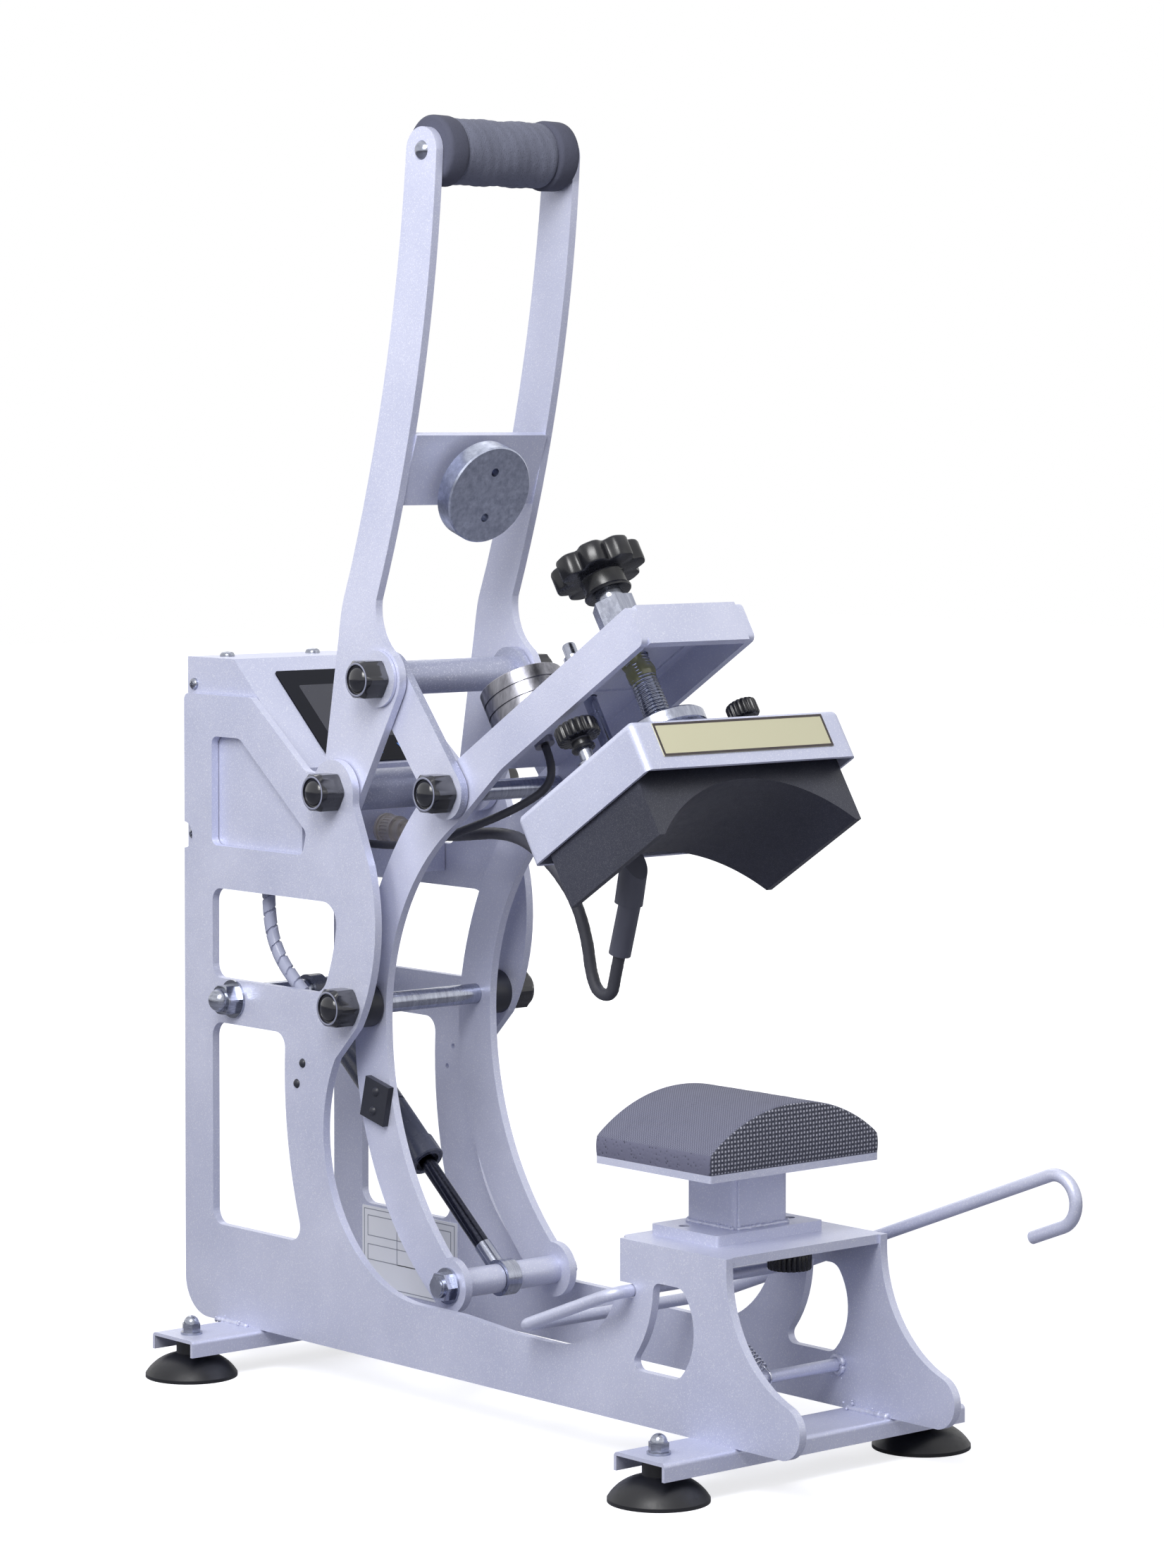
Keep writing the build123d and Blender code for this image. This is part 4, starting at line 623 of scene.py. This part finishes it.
# Outlines and the meshes made from them
def latheMesh(steps, place, sides, lobes=0, depth=0.0):
    # steps from foot to top: radius, height and how much of the lobes' depth shows there
    def dip(angle):
        return depth * (0.5 - 0.5 * math.cos(lobes * angle)) ** 2.4
    return tubesMesh([[turnedRing(place, sides, height, lambda angle: radius * (1.0 - share * dip(angle)))
                       for radius, height, share in steps]])


def rimMesh(outer, inner, thick, place):
    # a thin raised border between two outlines with as many points each
    return tubesMesh([[
        [place @ Vector((x, y, z)) for x, y in line]
        for line, z in ((outer, 0.0), (outer, thick), (inner, thick), (inner, 0.0))]], True)


def sheetMesh(outline, low, high, place):
    # a flat sheet with the outline's shape
    return tubesMesh([[[place @ Vector((x, y, z)) for x, y in outline] for z in (low, high)]])


def roundedOutline(left, right, low, high, radius, steps=6):
    points = []
    for cx, cy, start in ((right - radius, high - radius, 0), (left + radius, high - radius, 90),
                          (left + radius, low + radius, 180), (right - radius, low + radius, 270)):
        for n in range(steps + 1):
            angle = math.radians(start + 90.0 * n / steps)
            points.append((cx + radius * math.cos(angle), cy + radius * math.sin(angle)))
    return points


# Foam pad of the lower platen: woven cover on the dome, meshed ends, open foam at the low sides
padSpec = {
    "half": 62.6, "rear": 223.75, "front": 316.25, "low": 168.4, "side": 11.0, "crown": 33.6, "middle": 14.0,
    "corner": 0.8, "endBulge": 0.9, "sideBulge": 0.5, "ripple": 0.25, "endInset": 1.3,
    "sagFrom": 8.0, "endFacing": 0.75, "flankDrop": 0.4,
    "footSteps": 10, "sideSteps": 5, "domeSteps": 48,
}


def padOutline(spec, inset):
    # one cross-section: flat foot, bulging low sides, rounded shoulders and the dome
    half, rise = spec["half"], spec["crown"] - spec["side"]
    foot, flank, dome = spec["footSteps"], spec["sideSteps"], spec["domeSteps"]
    radius = (half ** 2 + rise ** 2) / (2 * rise)
    points = [(-half + inset + (2 * half - 2 * inset) * n / foot, spec["low"] + inset * 0.3) for n in range(foot + 1)]
    for n in range(1, flank + 1):
        t = n / flank
        bulge = spec["sideBulge"] * math.sin(math.pi * t) - spec["corner"] * 0.35 * max(0.0, t - 0.75) / 0.25
        points.append((half - inset + bulge, spec["low"] + (spec["side"] - spec["corner"] * 0.3) * t))
    flankPoints = points[-flank:]
    edge = math.asin(half / radius)
    for n in range(1, dome):
        angle = edge * (1.0 - 2.0 * n / dome)
        reach = radius - inset
        points.append((reach * math.sin(angle), spec["low"] + spec["crown"] - radius + reach * math.cos(angle)))
    return points + [(-x, z) for x, z in reversed(flankPoints)]


def padEnd(spec, share, f, outward):
    # an end face's ring, nearer to its middle as share falls
    bulge = outward * spec["endBulge"] * (1.0 - share ** 2)
    z0 = spec["low"] + spec["middle"]
    return [(x * share, f + bulge, z0 + (z - z0) * share) for x, z in padOutline(spec, spec["endInset"])]


def buildPad(spec):
    span = spec["front"] - spec["rear"]
    stations = [(0.0, spec["endInset"]), (0.25, 0.55), (0.8, 0.15), (1.6, 0.0)]
    stations += [(1.6 + (span - 3.2) * n / 30, 0.0) for n in range(1, 30)]
    stations += [(span - t, inset) for t, inset in reversed(stations[:4])]
    shares = (0.25, 0.5, 0.75, 0.9)
    rings = [padEnd(spec, share, spec["rear"], -1) for share in shares]
    for t, inset in stations:
        sag = spec["ripple"] * math.sin(t * 0.9) * math.sin(math.pi * t / span)
        rings.append([
            (x, spec["rear"] + t, z + (sag * math.cos(x * 0.11) if z > spec["low"] + spec["sagFrom"] else 0.0))
            for x, z in padOutline(spec, inset)])
    rings += [padEnd(spec, share, spec["front"], 1) for share in reversed(shares)]
    build = bmesh.new()
    joinRings(build, [[build.verts.new(sideSpot(x, f, z)) for x, f, z in ring] for ring in rings])
    bmesh.ops.recalc_face_normals(build, faces=build.faces)
    build.normal_update()
    shoulder = (spec["low"] + spec["side"] - spec["flankDrop"]) / 1000
    for face in build.faces:
        if abs(face.normal.y) > spec["endFacing"]:
            face.material_index = 1
        elif face.calc_center_median().z < shoulder:
            face.material_index = 2
    return finishMesh(build)


padFoam = addPiece("padFoam", buildPad(padSpec), "padWeave", "frame", sharp=50.0, node="platen_pad")
padFoam.data.materials.append(finishes["padMesh"])
padFoam.data.materials.append(finishes["padPores"])

# Foam grip: a sleeve between two denser collars, a little uneven where hands squeeze it
gripSpec = {
    "at": (62.5, 724.0), "half": 48.7, "foam": 19.0, "collar": 20.5, "collarFrom": 34.0, "squeeze": 0.45,
    "wrinkle": 0.18, "bore": 6.1, "sides": 56,
}


def buildGrip(spec):
    half, seam, foam, collar = spec["half"], spec["collarFrom"], spec["foam"], spec["collar"]
    cuts = [(half, collar - 2.6), (half - 0.5, collar - 1.2), (half - 1.6, collar - 0.25), (half - 3.0, collar),
            (seam + 2.6, collar), (seam + 1.2, collar - 0.4), (seam + 0.3, collar - 1.6),
            (seam - 0.3, foam - 1.1), (seam - 1.6, foam - 0.2)]
    inner = [(seam - 1.6 - (2 * seam - 3.2) * n / 34, foam) for n in range(1, 34)]
    profile = cuts + inner + [(-x, r) for x, r in reversed(cuts)]
    build = bmesh.new()
    rings = []
    for x, radius in [(half, spec["bore"])] + profile + [(-half, spec["bore"])]:
        ring = []
        for k in range(spec["sides"]):
            angle = 2 * math.pi * k / spec["sides"]
            soft = spec["squeeze"] * math.sin(x * 0.23 + 1.0) * math.cos(2 * angle + x * 0.05)
            soft += spec["wrinkle"] * math.sin(x * 0.9 + 3 * angle) if abs(x) < seam else 0.0
            reach = radius + (soft if radius > spec["bore"] + 1 else 0.0)
            ring.append(build.verts.new(sideSpot(x, spec["at"][0] + reach * math.cos(angle),
                                                 spec["at"][1] + reach * math.sin(angle))))
        rings.append(ring)
    joinRings(build, rings, True)
    for face in build.faces:
        if abs(face.calc_center_median().x) > seam / 1000:
            face.material_index = 1
    return finishMesh(build)


gripFoam = addPiece("gripFoam", buildGrip(gripSpec), "gripRubber", "handle", sharp=60.0, node="grip_foam")
gripFoam.data.materials.append(finishes["collarRubber"])
print("soft pieces placed")

# Hand knobs, studs and the pressure screw, drawn level on the head
screwAt = 267.5
knobTurn = 40.0
metalTurn = 32.0
knobSpec = {
    "low": 348.0, "grip": 26.6, "gripLow": 11.6, "gripHigh": 25.0, "hub": 13.4, "lobes": 8, "depth": 0.17, "sides": 160,
}


def knobSteps(spec):
    grip, low, high, hub = spec["grip"], spec["gripLow"], spec["gripHigh"], spec["hub"]
    return [(hub - 1.4, 0.0, 0), (hub + 0.2, 0.5, 0), (hub + 0.6, 1.4, 0), (hub + 0.3, 2.4, 0), (hub - 0.6, 2.9, 0),
            (hub - 0.8, low - 1.0, 0), (hub - 0.2, low - 0.2, 0), (hub + 1.0, low, 0.2), (grip - 1.6, low, 1),
            (grip - 0.4, low + 0.5, 1), (grip, low + 1.4, 1), (grip, high - 2.0, 1), (grip - 0.5, high - 0.9, 1),
            (grip - 1.6, high - 0.2, 1), (grip - 3.0, high, 1), (grip * 0.6, high + 0.3, 0.3),
            (grip * 0.55, high - 0.5, 0.2), (2.0, high - 0.8, 0)]


def knobMesh(spec, place):
    return latheMesh(knobSteps(spec), place, spec["sides"], spec["lobes"], spec["depth"])


addPiece("pressureKnob", knobMesh(knobSpec, armFrame(0, screwAt, knobSpec["low"])), "glossPlastic", "pressure_control",
         sharp=knobTurn, node="pressure_knob")

thumbSpec = {"gripLow": 7.0, "gripHigh": 17.0, "hub": 6.4, "lobes": 18, "depth": 0.1, "sides": 216}
thumbKnobs = {
    "thumbKnobLeft": {
        "at": (-40.0, 244.0, 263.0), "grip": 12.6, "node": "thumb_knob_left", "body": "thumb_screw_left"},
    "thumbKnobRight": {
        "at": (40.0, 291.0, 246.5), "grip": 9.0, "node": "thumb_knob_right", "body": "thumb_screw_right"},
}
for name, spec in thumbKnobs.items():
    mesh = knobMesh({**thumbSpec, "grip": spec["grip"]}, armFrame(*spec["at"]))
    addPiece(name, mesh, "glossPlastic", spec["body"], sharp=knobTurn, node=spec["node"])

# Turned parts of the head: foot on the level head, solid replaced, sides, then radius and height from foot to top
turnedSpec = {
    "headGuidePin": ((0.0, 222.0, 240.0), "head_pins", 40, [
        (7.0, 0), (7.0, 2.0), (6.5, 2.5), (4.0, 2.6), (4.0, 101.0), (3.4, 102.0)]),
    "headStudLeft": ((-40.0, 244.0, 243.0), "head_pins", 40, [
        (9.4, 0), (9.4, 5.6), (8.8, 6.2), (6.6, 6.3), (6.6, 12.6), (6.2, 13.0), (4.0, 13.1), (4.0, 27.0)]),
    "headStudRight": ((40.0, 291.0, 243.0), "head_pins", 40, [
        (8.4, 0), (8.4, 1.6), (7.8, 2.0), (4.0, 2.1), (4.0, 15.0)]),
    "screwFlange": ((0.0, screwAt, 250.0), None, 72, [
        (18.0, 0), (18.0, 6.0), (24.4, 6.2), (25.0, 6.8), (25.0, 13.0), (24.0, 14.0), (8.6, 14.0), (8.2, 13.2)]),
}
for name, (foot, node, sides, steps) in turnedSpec.items():
    mesh = latheMesh([(radius, high, 0) for radius, high in steps], armFrame(*foot), sides)
    addPiece(name, mesh, "zincSteel", "head", sharp=metalTurn, node=node)

threadSpec = {
    "radius": 7.9, "pitch": 2.0, "depth": 0.95, "low": 244.0, "high": 360.0, "plainTop": 344.5,
    "sides": 36, "ringsPerTurn": 8,
}


def threadRings(spec):
    place = armFrame(0, screwAt, 0.0)
    step = spec["pitch"] / spec["ringsPerTurn"]
    rings = []
    for n in range(int((spec["high"] - spec["low"]) / step) + 1):
        z = spec["low"] + n * step

        def reachAt(angle):
            phase = (z / spec["pitch"] - angle / (2 * math.pi)) % 1.0
            cut = spec["depth"] * (1.0 - abs(2.0 * phase - 1.0) ** 0.9) if z < spec["plainTop"] else 0.0
            return spec["radius"] - cut
        rings.append(turnedRing(place, spec["sides"], z, reachAt))
    return rings


addPiece("pressureScrew", tubesMesh([threadRings(threadSpec)]), "brightScrew", "pressure_control",
         sharp=60.0, node="pressure_screw")

# Grease squeezed out where the screw enters the arm's cover
greaseSpec = {
    "low": 285.0, "high": 306.8, "thick": 2.6, "under": 0.9, "seed": 7, "lumps": 16, "sides": 40, "rows": 26,
}


def greaseRings(spec):
    random.seed(spec["seed"])
    place = armFrame(0, screwAt, 0.0)
    lumps = [(random.uniform(0, 2 * math.pi), random.uniform(0.35, 1.0), random.uniform(0.25, 0.7),
              random.uniform(0.1, 0.3)) for n in range(spec["lumps"])]
    rings = []
    for n in range(spec["rows"] + 1):
        share = n / spec["rows"]

        def reachAt(angle):
            swell = 0.0
            for at, high, wide, tall in lumps:
                turn = (angle - at + math.pi) % (2 * math.pi) - math.pi
                swell = max(swell, math.exp(-(turn / wide) ** 2 - ((share - high) / tall) ** 2))
            return threadSpec["radius"] - spec["under"] + spec["thick"] * swell * (0.35 + 0.65 * share)
        rings.append(turnedRing(place, spec["sides"], spec["low"] + (spec["high"] - spec["low"]) * share, reachAt))
    return rings


addPiece("screwGrease", tubesMesh([greaseRings(greaseSpec)]), "greaseFinish", "arm")

# Printed border of the bare label, and the pressed rim under the arm's cover
borders = {
    "labelBorder": {
        "at": (0, 323.62, 227.0), "facing": (1, 0), "outer": (-62.9, 62.9, -10.0, 10.0, 0.4, 2),
        "inner": (-61.5, 61.5, -8.6, 8.6, 0.3, 2), "thick": 0.12, "finish": "inkFinish", "body": "head"},
    "coverRim": {
        "at": (0, 0, 307.0), "facing": (0, -1), "outer": (-29.5, 29.5, 229.0, 300.0, 7.0),
        "inner": (-27.0, 27.0, 231.5, 297.5, 5.5), "thick": 1.0, "finish": "silverPaint", "body": "arm"},
}
for name, spec in borders.items():
    mesh = rimMesh(roundedOutline(*spec["outer"]), roundedOutline(*spec["inner"]), spec["thick"],
                   frameOf(armPoint(*spec["at"]), sideways, armWay(*spec["facing"])))
    addPiece(name, mesh, spec["finish"], spec["body"], False)

# The display's glass, its lit field and its keys, drawn on the box's slope
screenSpec = {
    "slopeUp": (0, -62.1, 67.5), "at": (0, -83.75, 395.45), "proud": 0.00085,
    "glass": (-31.0, 43.0, -44.0, 33.6, 2.0), "deep": 0.82, "field": (-20.0, 32.0, -24.0, 21.0, 1.5),
    "fieldThick": 0.06, "keys": (-20.5, 6.0, 32.5), "keyThick": 0.08,
    "keyOuter": ((-5.0, -38.0), (5.0, -38.0), (7.0, -30.6), (-7.0, -30.6)),
    "keyInner": ((-4.4, -37.2), (4.4, -37.2), (6.0, -31.4), (-6.0, -31.4)),
    "mark": ((-1.6, -36.0), (-0.2, -36.0), (1.6, -32.6), (0.2, -32.6)),
}
slopeUp = Vector(screenSpec["slopeUp"]).normalized()
slopeFrame = frameOf(sideSpot(*screenSpec["at"]) + slopeUp * screenSpec["proud"], sideways, slopeUp)
glassMesh = sheetMesh(roundedOutline(*screenSpec["glass"]), -screenSpec["deep"], 0.0, slopeFrame)
addPiece("screenGlass", glassMesh, "displayGlass", "frame", False)
fieldMesh = sheetMesh(roundedOutline(*screenSpec["field"]), 0.0, screenSpec["fieldThick"], slopeFrame)
addPiece("screenField", fieldMesh, "screenDark", "frame", False)
for n, middle in enumerate(screenSpec["keys"], 1):
    outer, inner, mark = [[(middle + x, y) for x, y in screenSpec[line]] for line in ("keyOuter", "keyInner", "mark")]
    keyMesh = rimMesh(outer, inner, screenSpec["keyThick"], slopeFrame)
    addPiece("screenKey" + str(n), keyMesh, "keyBlue", "frame", False)
    markMesh = sheetMesh(mark, 0.0, screenSpec["keyThick"], slopeFrame)
    addPiece("screenMark" + str(n), markMesh, "keyBlue", "frame", False)

# Ruled lines of the blank plate inside the right frame plate
plateFrame = frameOf(sideSpot(54.15, -85.05, 56.5), Vector((0, -1, 0)), Vector((-1, 0, 0)))
plateLine = {"wide": 0.5, "thick": 0.1, "corner": 0.4, "innerCorner": 0.3, "cornerSteps": 2}
plateLines = {
    "plateEdge": (-44.5, 44.5, -24.0, 24.0), "plateRowLow": (-41.0, 41.0, -8.0, 2.0),
    "plateRowHigh": (-41.0, 41.0, 7.0, 20.0), "plateColumn": (-12.0, 14.0, -8.0, 20.0),
}
for name, (left, right, low, high) in plateLines.items():
    wide, steps = plateLine["wide"], plateLine["cornerSteps"]
    outer = roundedOutline(left, right, low, high, plateLine["corner"], steps)
    inner = roundedOutline(left + wide, right - wide, low + wide, high - wide, plateLine["innerCorner"], steps)
    addPiece(name, rimMesh(outer, inner, plateLine["thick"], plateFrame), "plateInk", "frame", False)
print("small pieces placed")

# Knurled clamp knobs under the table, with their studs up through the slots
clampSpec = {"radius": 12.4, "low": 102.4, "stud": 2.9, "studTop": 130.0, "knurls": 24, "depth": 0.07, "sides": 192}
clampSteps = [(clampSpec["radius"] * 0.8, 0, 0), (clampSpec["radius"] - 0.6, 0.1, 1), (clampSpec["radius"], 1.0, 1),
              (clampSpec["radius"], 10.4, 1), (clampSpec["radius"] - 0.7, 11.3, 1), (8.6, 11.5, 0), (8.2, 17.2, 0),
              (clampSpec["stud"], 17.2, 0), (clampSpec["stud"], clampSpec["studTop"] - clampSpec["low"], 0)]
for side, x, f in (("left", -31.0, 261.0), ("right", 31.0, 279.0)):
    place = frameOf(sideSpot(x, f, clampSpec["low"]), sideways, Vector((0, 0, 1)))
    mesh = latheMesh(clampSteps, place, clampSpec["sides"], clampSpec["knurls"], clampSpec["depth"])
    addPiece("clampKnob" + side.capitalize(), mesh, "glossPlastic", "clamp_screw_" + side,
             sharp=knobTurn, node="clamp_knob_" + side)


# Hand-laid weld beads, with a little spatter beside them, under the paint: sizes are shares of a bead's radius
weldSpec = {
    "seed": 31, "step": 0.55, "swell": (0.72, 1.18), "ends": 0.35, "flat": 0.1, "scatter": 2.4, "drop": (0.22, 0.5),
}


def weldMesh(points, radius, spatter, seed):
    random.seed(seed)
    path = []
    for a, b in zip(points, points[1:]):
        count = max(2, int((b - a).length / (radius * weldSpec["step"])))
        path += [a.lerp(b, n / count) for n in range(count)]
    path.append(points[-1])
    swell = [radius * random.uniform(*weldSpec["swell"]) for n in path]
    swell[0] = swell[-1] = radius * weldSpec["ends"]
    turns = [random.uniform(0, 6.3) for n in path]
    mesh = ringMesh(path, lambda n, angle: swell[n] * (1.0 + weldSpec["flat"] * math.sin(2 * angle + turns[n])))
    build = bmesh.new()
    build.from_mesh(mesh)
    for n in range(spatter):
        near = random.choice(path)
        drop = near + Vector([random.uniform(-1, 1) for k in range(3)]) * radius * weldSpec["scatter"]
        size = radius * random.uniform(*weldSpec["drop"])
        bmesh.ops.create_icosphere(build, subdivisions=2, radius=size, matrix=Matrix.Translation(drop))
    build.to_mesh(mesh)
    build.free()
    return mesh


def ringSpots(x, f, z, reach, count=14):
    angles = [2 * math.pi * n / count for n in range(count + 1)]
    return [sideSpot(x, f + reach * math.cos(angle), z + reach * math.sin(angle)) for angle in angles]


# Each bead's line, its radius in millimetres and its drops of spatter
welds = {
    "postWeldLeft": ([sideSpot(-20.4, f, 131.6) for f in (251, 270, 289)], 1.5, 6),
    "postWeldFront": ([sideSpot(x, 290.4, 131.6) for x in (-19, 0, 19)], 1.5, 8),
    "postWeldRight": ([sideSpot(20.4, f, 131.6) for f in (251, 270, 289)], 1.5, 4),
    "postWeldRear": ([sideSpot(x, 249.6, 131.6) for x in (-19, 0, 19)], 1.5, 4),
    "postSeam": ([sideSpot(-17.6, 290.1, z) for z in (132, 148, 163.6)], 0.9, 0),
    "rodWeldRight": (ringSpots(54.2, 293.0, 48.5, 4.6), 1.6, 12),
    "rodWeldLeft": (ringSpots(-54.2, 293.0, 48.5, 4.6), 1.5, 6),
    "channelWeldFrontRight": ([sideSpot(54.2, f, 25.6) for f in (300, 314, 333)], 1.9, 14),
    "channelWeldFrontLeft": ([sideSpot(-54.2, f, 25.6) for f in (300, 314, 333)], 1.6, 8),
    "channelWeldRearLeft": ([sideSpot(-60.8, f, 25.4) for f in (-129, -112, -97)], 1.6, 8),
    "channelWeldRearRight": ([sideSpot(60.8, f, 25.4) for f in (-129, -112, -97)], 1.6, 8),
}
for count, (name, (points, radius, spatter)) in enumerate(welds.items()):
    mesh = weldMesh(points, radius / 1000, spatter, weldSpec["seed"] + count)
    addPiece(name, mesh, "silverPaint", "frame")
print("welds laid")

# Cap nuts with a dome inside a paler lip, its grey a painted highlight: steps from the seat give how far the turned
# outline lets the hexagon reach
nutSpec = {"flat": 10.8, "corner": 12.25, "sides": 72, "lipRows": (4, 5)}
nutSteps = [(11.4, 0.0), (12.3, 0.7), (12.4, 12.4), (10.3, 14.6), (9.9, 14.9), (9.2, 15.2), (8.7, 14.9), (8.2, 13.9),
            (7.7, 13.8), (7.2, 14.5), (6.2, 15.4), (4.9, 16.0), (3.2, 16.5), (1.4, 16.75), (0.1, 16.8)]
nutPlaces = {
    "pivotCapNuts": ("pivot_cap_nuts", "frame", ((60.0, 0.0, 228.0), (60.0, -14.0, 353.0))),
    "linkCapNuts": ("link_cap_nuts", "arm", ((48.3, 75.0, 357.0),)),
    "linkTopNuts": ("link_top_nuts", "link", ((56.3, 23.0, 420.5),)),
}


def nutReach(angle):
    return min(nutSpec["flat"] / math.cos((angle % (math.pi / 3)) - math.pi / 6), nutSpec["corner"])


for name, (node, body, spots) in nutPlaces.items():
    bodies = []
    for x, f, z in spots:
        for hand in (-1, 1):
            place = frameOf(sideSpot(hand * x, f, z), Vector((0, 1, 0)), Vector((hand, 0, 0)))
            bodies.append([turnedRing(place, nutSpec["sides"], high, lambda angle: min(nutReach(angle), limit))
                           for limit, high in nutSteps])
    nuts = addPiece(name, tubesMesh(bodies), "capPlastic", body, sharp=24.0, node=node)
    # the lip rows take the paler grey: a painted highlight on the black plastic
    nuts.data.materials.append(finishes["nutLipHighlight"])
    facesPerNut = nutSpec["sides"] * (len(nutSteps) - 1) + 2
    for face in nuts.data.polygons:
        if (face.index % facesPerNut) // nutSpec["sides"] in nutSpec["lipRows"]:
            face.material_index = 1

# Cross-head screws of the control box: place, way out, radius and height
boxScrewSpec = {
    "cross": 0.46, "slot": 0.13, "sink": 0.4, "sides": 48,
    "dome": ((1.0, 0.0), (1.0, 0.22), (0.95, 0.52), (0.82, 0.8), (0.64, 0.95), (0.5, 1.0)),
}
sideScrews = [(hand * 54.5, f, z, (hand, 0, 0), 3.6, 2.3)
              for hand in (-1, 1) for f, z in ((-157.4, 410.0), (-158.3, 318.6))]
rearScrews = [(x, -164.5, z, (0, 1, 0), 3.0, 2.0) for x in (-48.0, 48.0) for z in (304.0, 419.5)]
topScrews = [(x, -147.0, 426.5, (0, 0, 1), 4.6, 2.9) for x in (-37.5, 28.0)]


def crossReach(angle):
    lean = abs(math.sin((angle + math.pi / 4) % (math.pi / 2) - math.pi / 4))
    return min(boxScrewSpec["cross"], boxScrewSpec["slot"] / max(lean, 0.01))


def screwRings(place, radius, high):
    sides = boxScrewSpec["sides"]
    rings = [turnedRing(place, sides, high * rise, lambda angle: radius * share)
             for share, rise in boxScrewSpec["dome"]]
    for rise in (1.0, 1.0 - boxScrewSpec["sink"]):
        rings.append(turnedRing(place, sides, high * rise, lambda angle: radius * crossReach(angle)))
    return rings


screwBodies = []
for x, f, z, way, radius, high in sideScrews + rearScrews + topScrews:
    right = Vector((0.8, 0.6, 0)) if way[2] else Vector((0, 0, 1))
    screwBodies.append(screwRings(frameOf(sideSpot(x, f, z), right, Vector(way)), radius, high))
addPiece("boxScrews", tubesMesh(screwBodies), "brightScrew", "frame",
         sharp=36.0, node="box_screws")
print("nuts and screws placed")

# Floor and sky: both show white to the camera, and the floor keeps the press's shadow
studio = {
    "sky": 0.42, "floorHalf": 8.0, "floorGlow": 0.72, "glowFrom": 0.7, "glowTo": 2.2,
    "floorLit": (158, 159, 168), "floorSeen": (196, 197, 204),
}
floorMesh = bpy.data.meshes.new("floor")
half = studio["floorHalf"]
floorMesh.from_pydata([(-half, -half, 0), (half, -half, 0), (half, half, 0), (-half, half, 0)], [], [(0, 1, 2, 3)])
floor = placeObject("floor", floorMesh)
floorPaint, tree, surface = newMaterial("floorPaint")
surface.inputs["Roughness"].default_value = 0.9
surface.inputs["Specular IOR Level"].default_value = 0.0
surface.inputs["Emission Color"].default_value = (1.0, 1.0, 1.0, 1.0)
distance = tree.nodes.new("ShaderNodeVectorMath")
distance.operation = "LENGTH"
tree.links.new(objectCoords(tree), distance.inputs[0])
glow = rangeNode(tree, distance.outputs["Value"], studio["glowFrom"], studio["glowTo"], studio["floorGlow"], 1.0)
seen = tree.nodes.new("ShaderNodeLightPath").outputs["Is Camera Ray"]
tree.links.new(mathNode(tree, "MULTIPLY", glow, seen), surface.inputs["Emission Strength"])
floorColour = mixColours(tree, seen, shade(*studio["floorLit"]), shade(*studio["floorSeen"]))
tree.links.new(floorColour, surface.inputs["Base Color"])
floorMesh.materials.append(floorPaint)
world = bpy.data.worlds.new("studioSky")
bpy.context.scene.world = world
world.use_nodes = True
tree = world.node_tree
sky = tree.nodes["Background"]
sky.inputs["Color"].default_value = (1.0, 1.0, 1.0, 1.0)
rays = tree.nodes.new("ShaderNodeLightPath")
shown = rays.outputs["Is Camera Ray"]
for kind in ("Is Glossy Ray", "Is Transmission Ray"):
    shown = mathNode(tree, "MAXIMUM", shown, rays.outputs[kind])
tree.links.new(rangeNode(tree, shown, 0.0, 1.0, studio["sky"], 1.0), sky.inputs["Strength"])

# Soft lamps: the side lamp lifts the upper left without showing in the metal
lamps = {
    "keyLamp": {"place": (-1.25, -0.75, 1.4), "aim": (0, 0, 0.55), "size": 0.8, "power": 13.0},
    "sideLamp": {"place": (-1.05, 0.1, 0.95), "aim": (0, 0.16, 0.52), "size": 0.5, "power": 1.9, "spread": 95.0,
                 "mirrored": False},
    "topLamp": {"place": (-0.9, -0.6, 1.5), "aim": (0, 0, 0.55), "size": 0.6, "power": 11.0},
    "fillLamp": {"place": (1.2, -2.4, 1.5), "aim": (0, -0.1, 0.35), "size": 1.6, "power": 3.5},
    "rimLamp": {"place": (0.9, 1.9, 2.0), "aim": (0, 0, 0.4), "size": 1.4, "power": 8.0},
}
for name, spec in lamps.items():
    data = bpy.data.lights.new(name, "AREA")
    data.shape = "SQUARE"
    data.size = spec["size"]
    data.energy = spec["power"]
    data.spread = math.radians(spec.get("spread", 180.0))
    lamp = placeObject(name, data)
    lamp.location = spec["place"]
    lamp.visible_glossy = spec.get("mirrored", True)
    lamp.rotation_mode = "QUATERNION"
    lamp.rotation_quaternion = (Vector(spec["aim"]) - Vector(spec["place"])).to_track_quat("-Z", "Y")
print("studio ready")
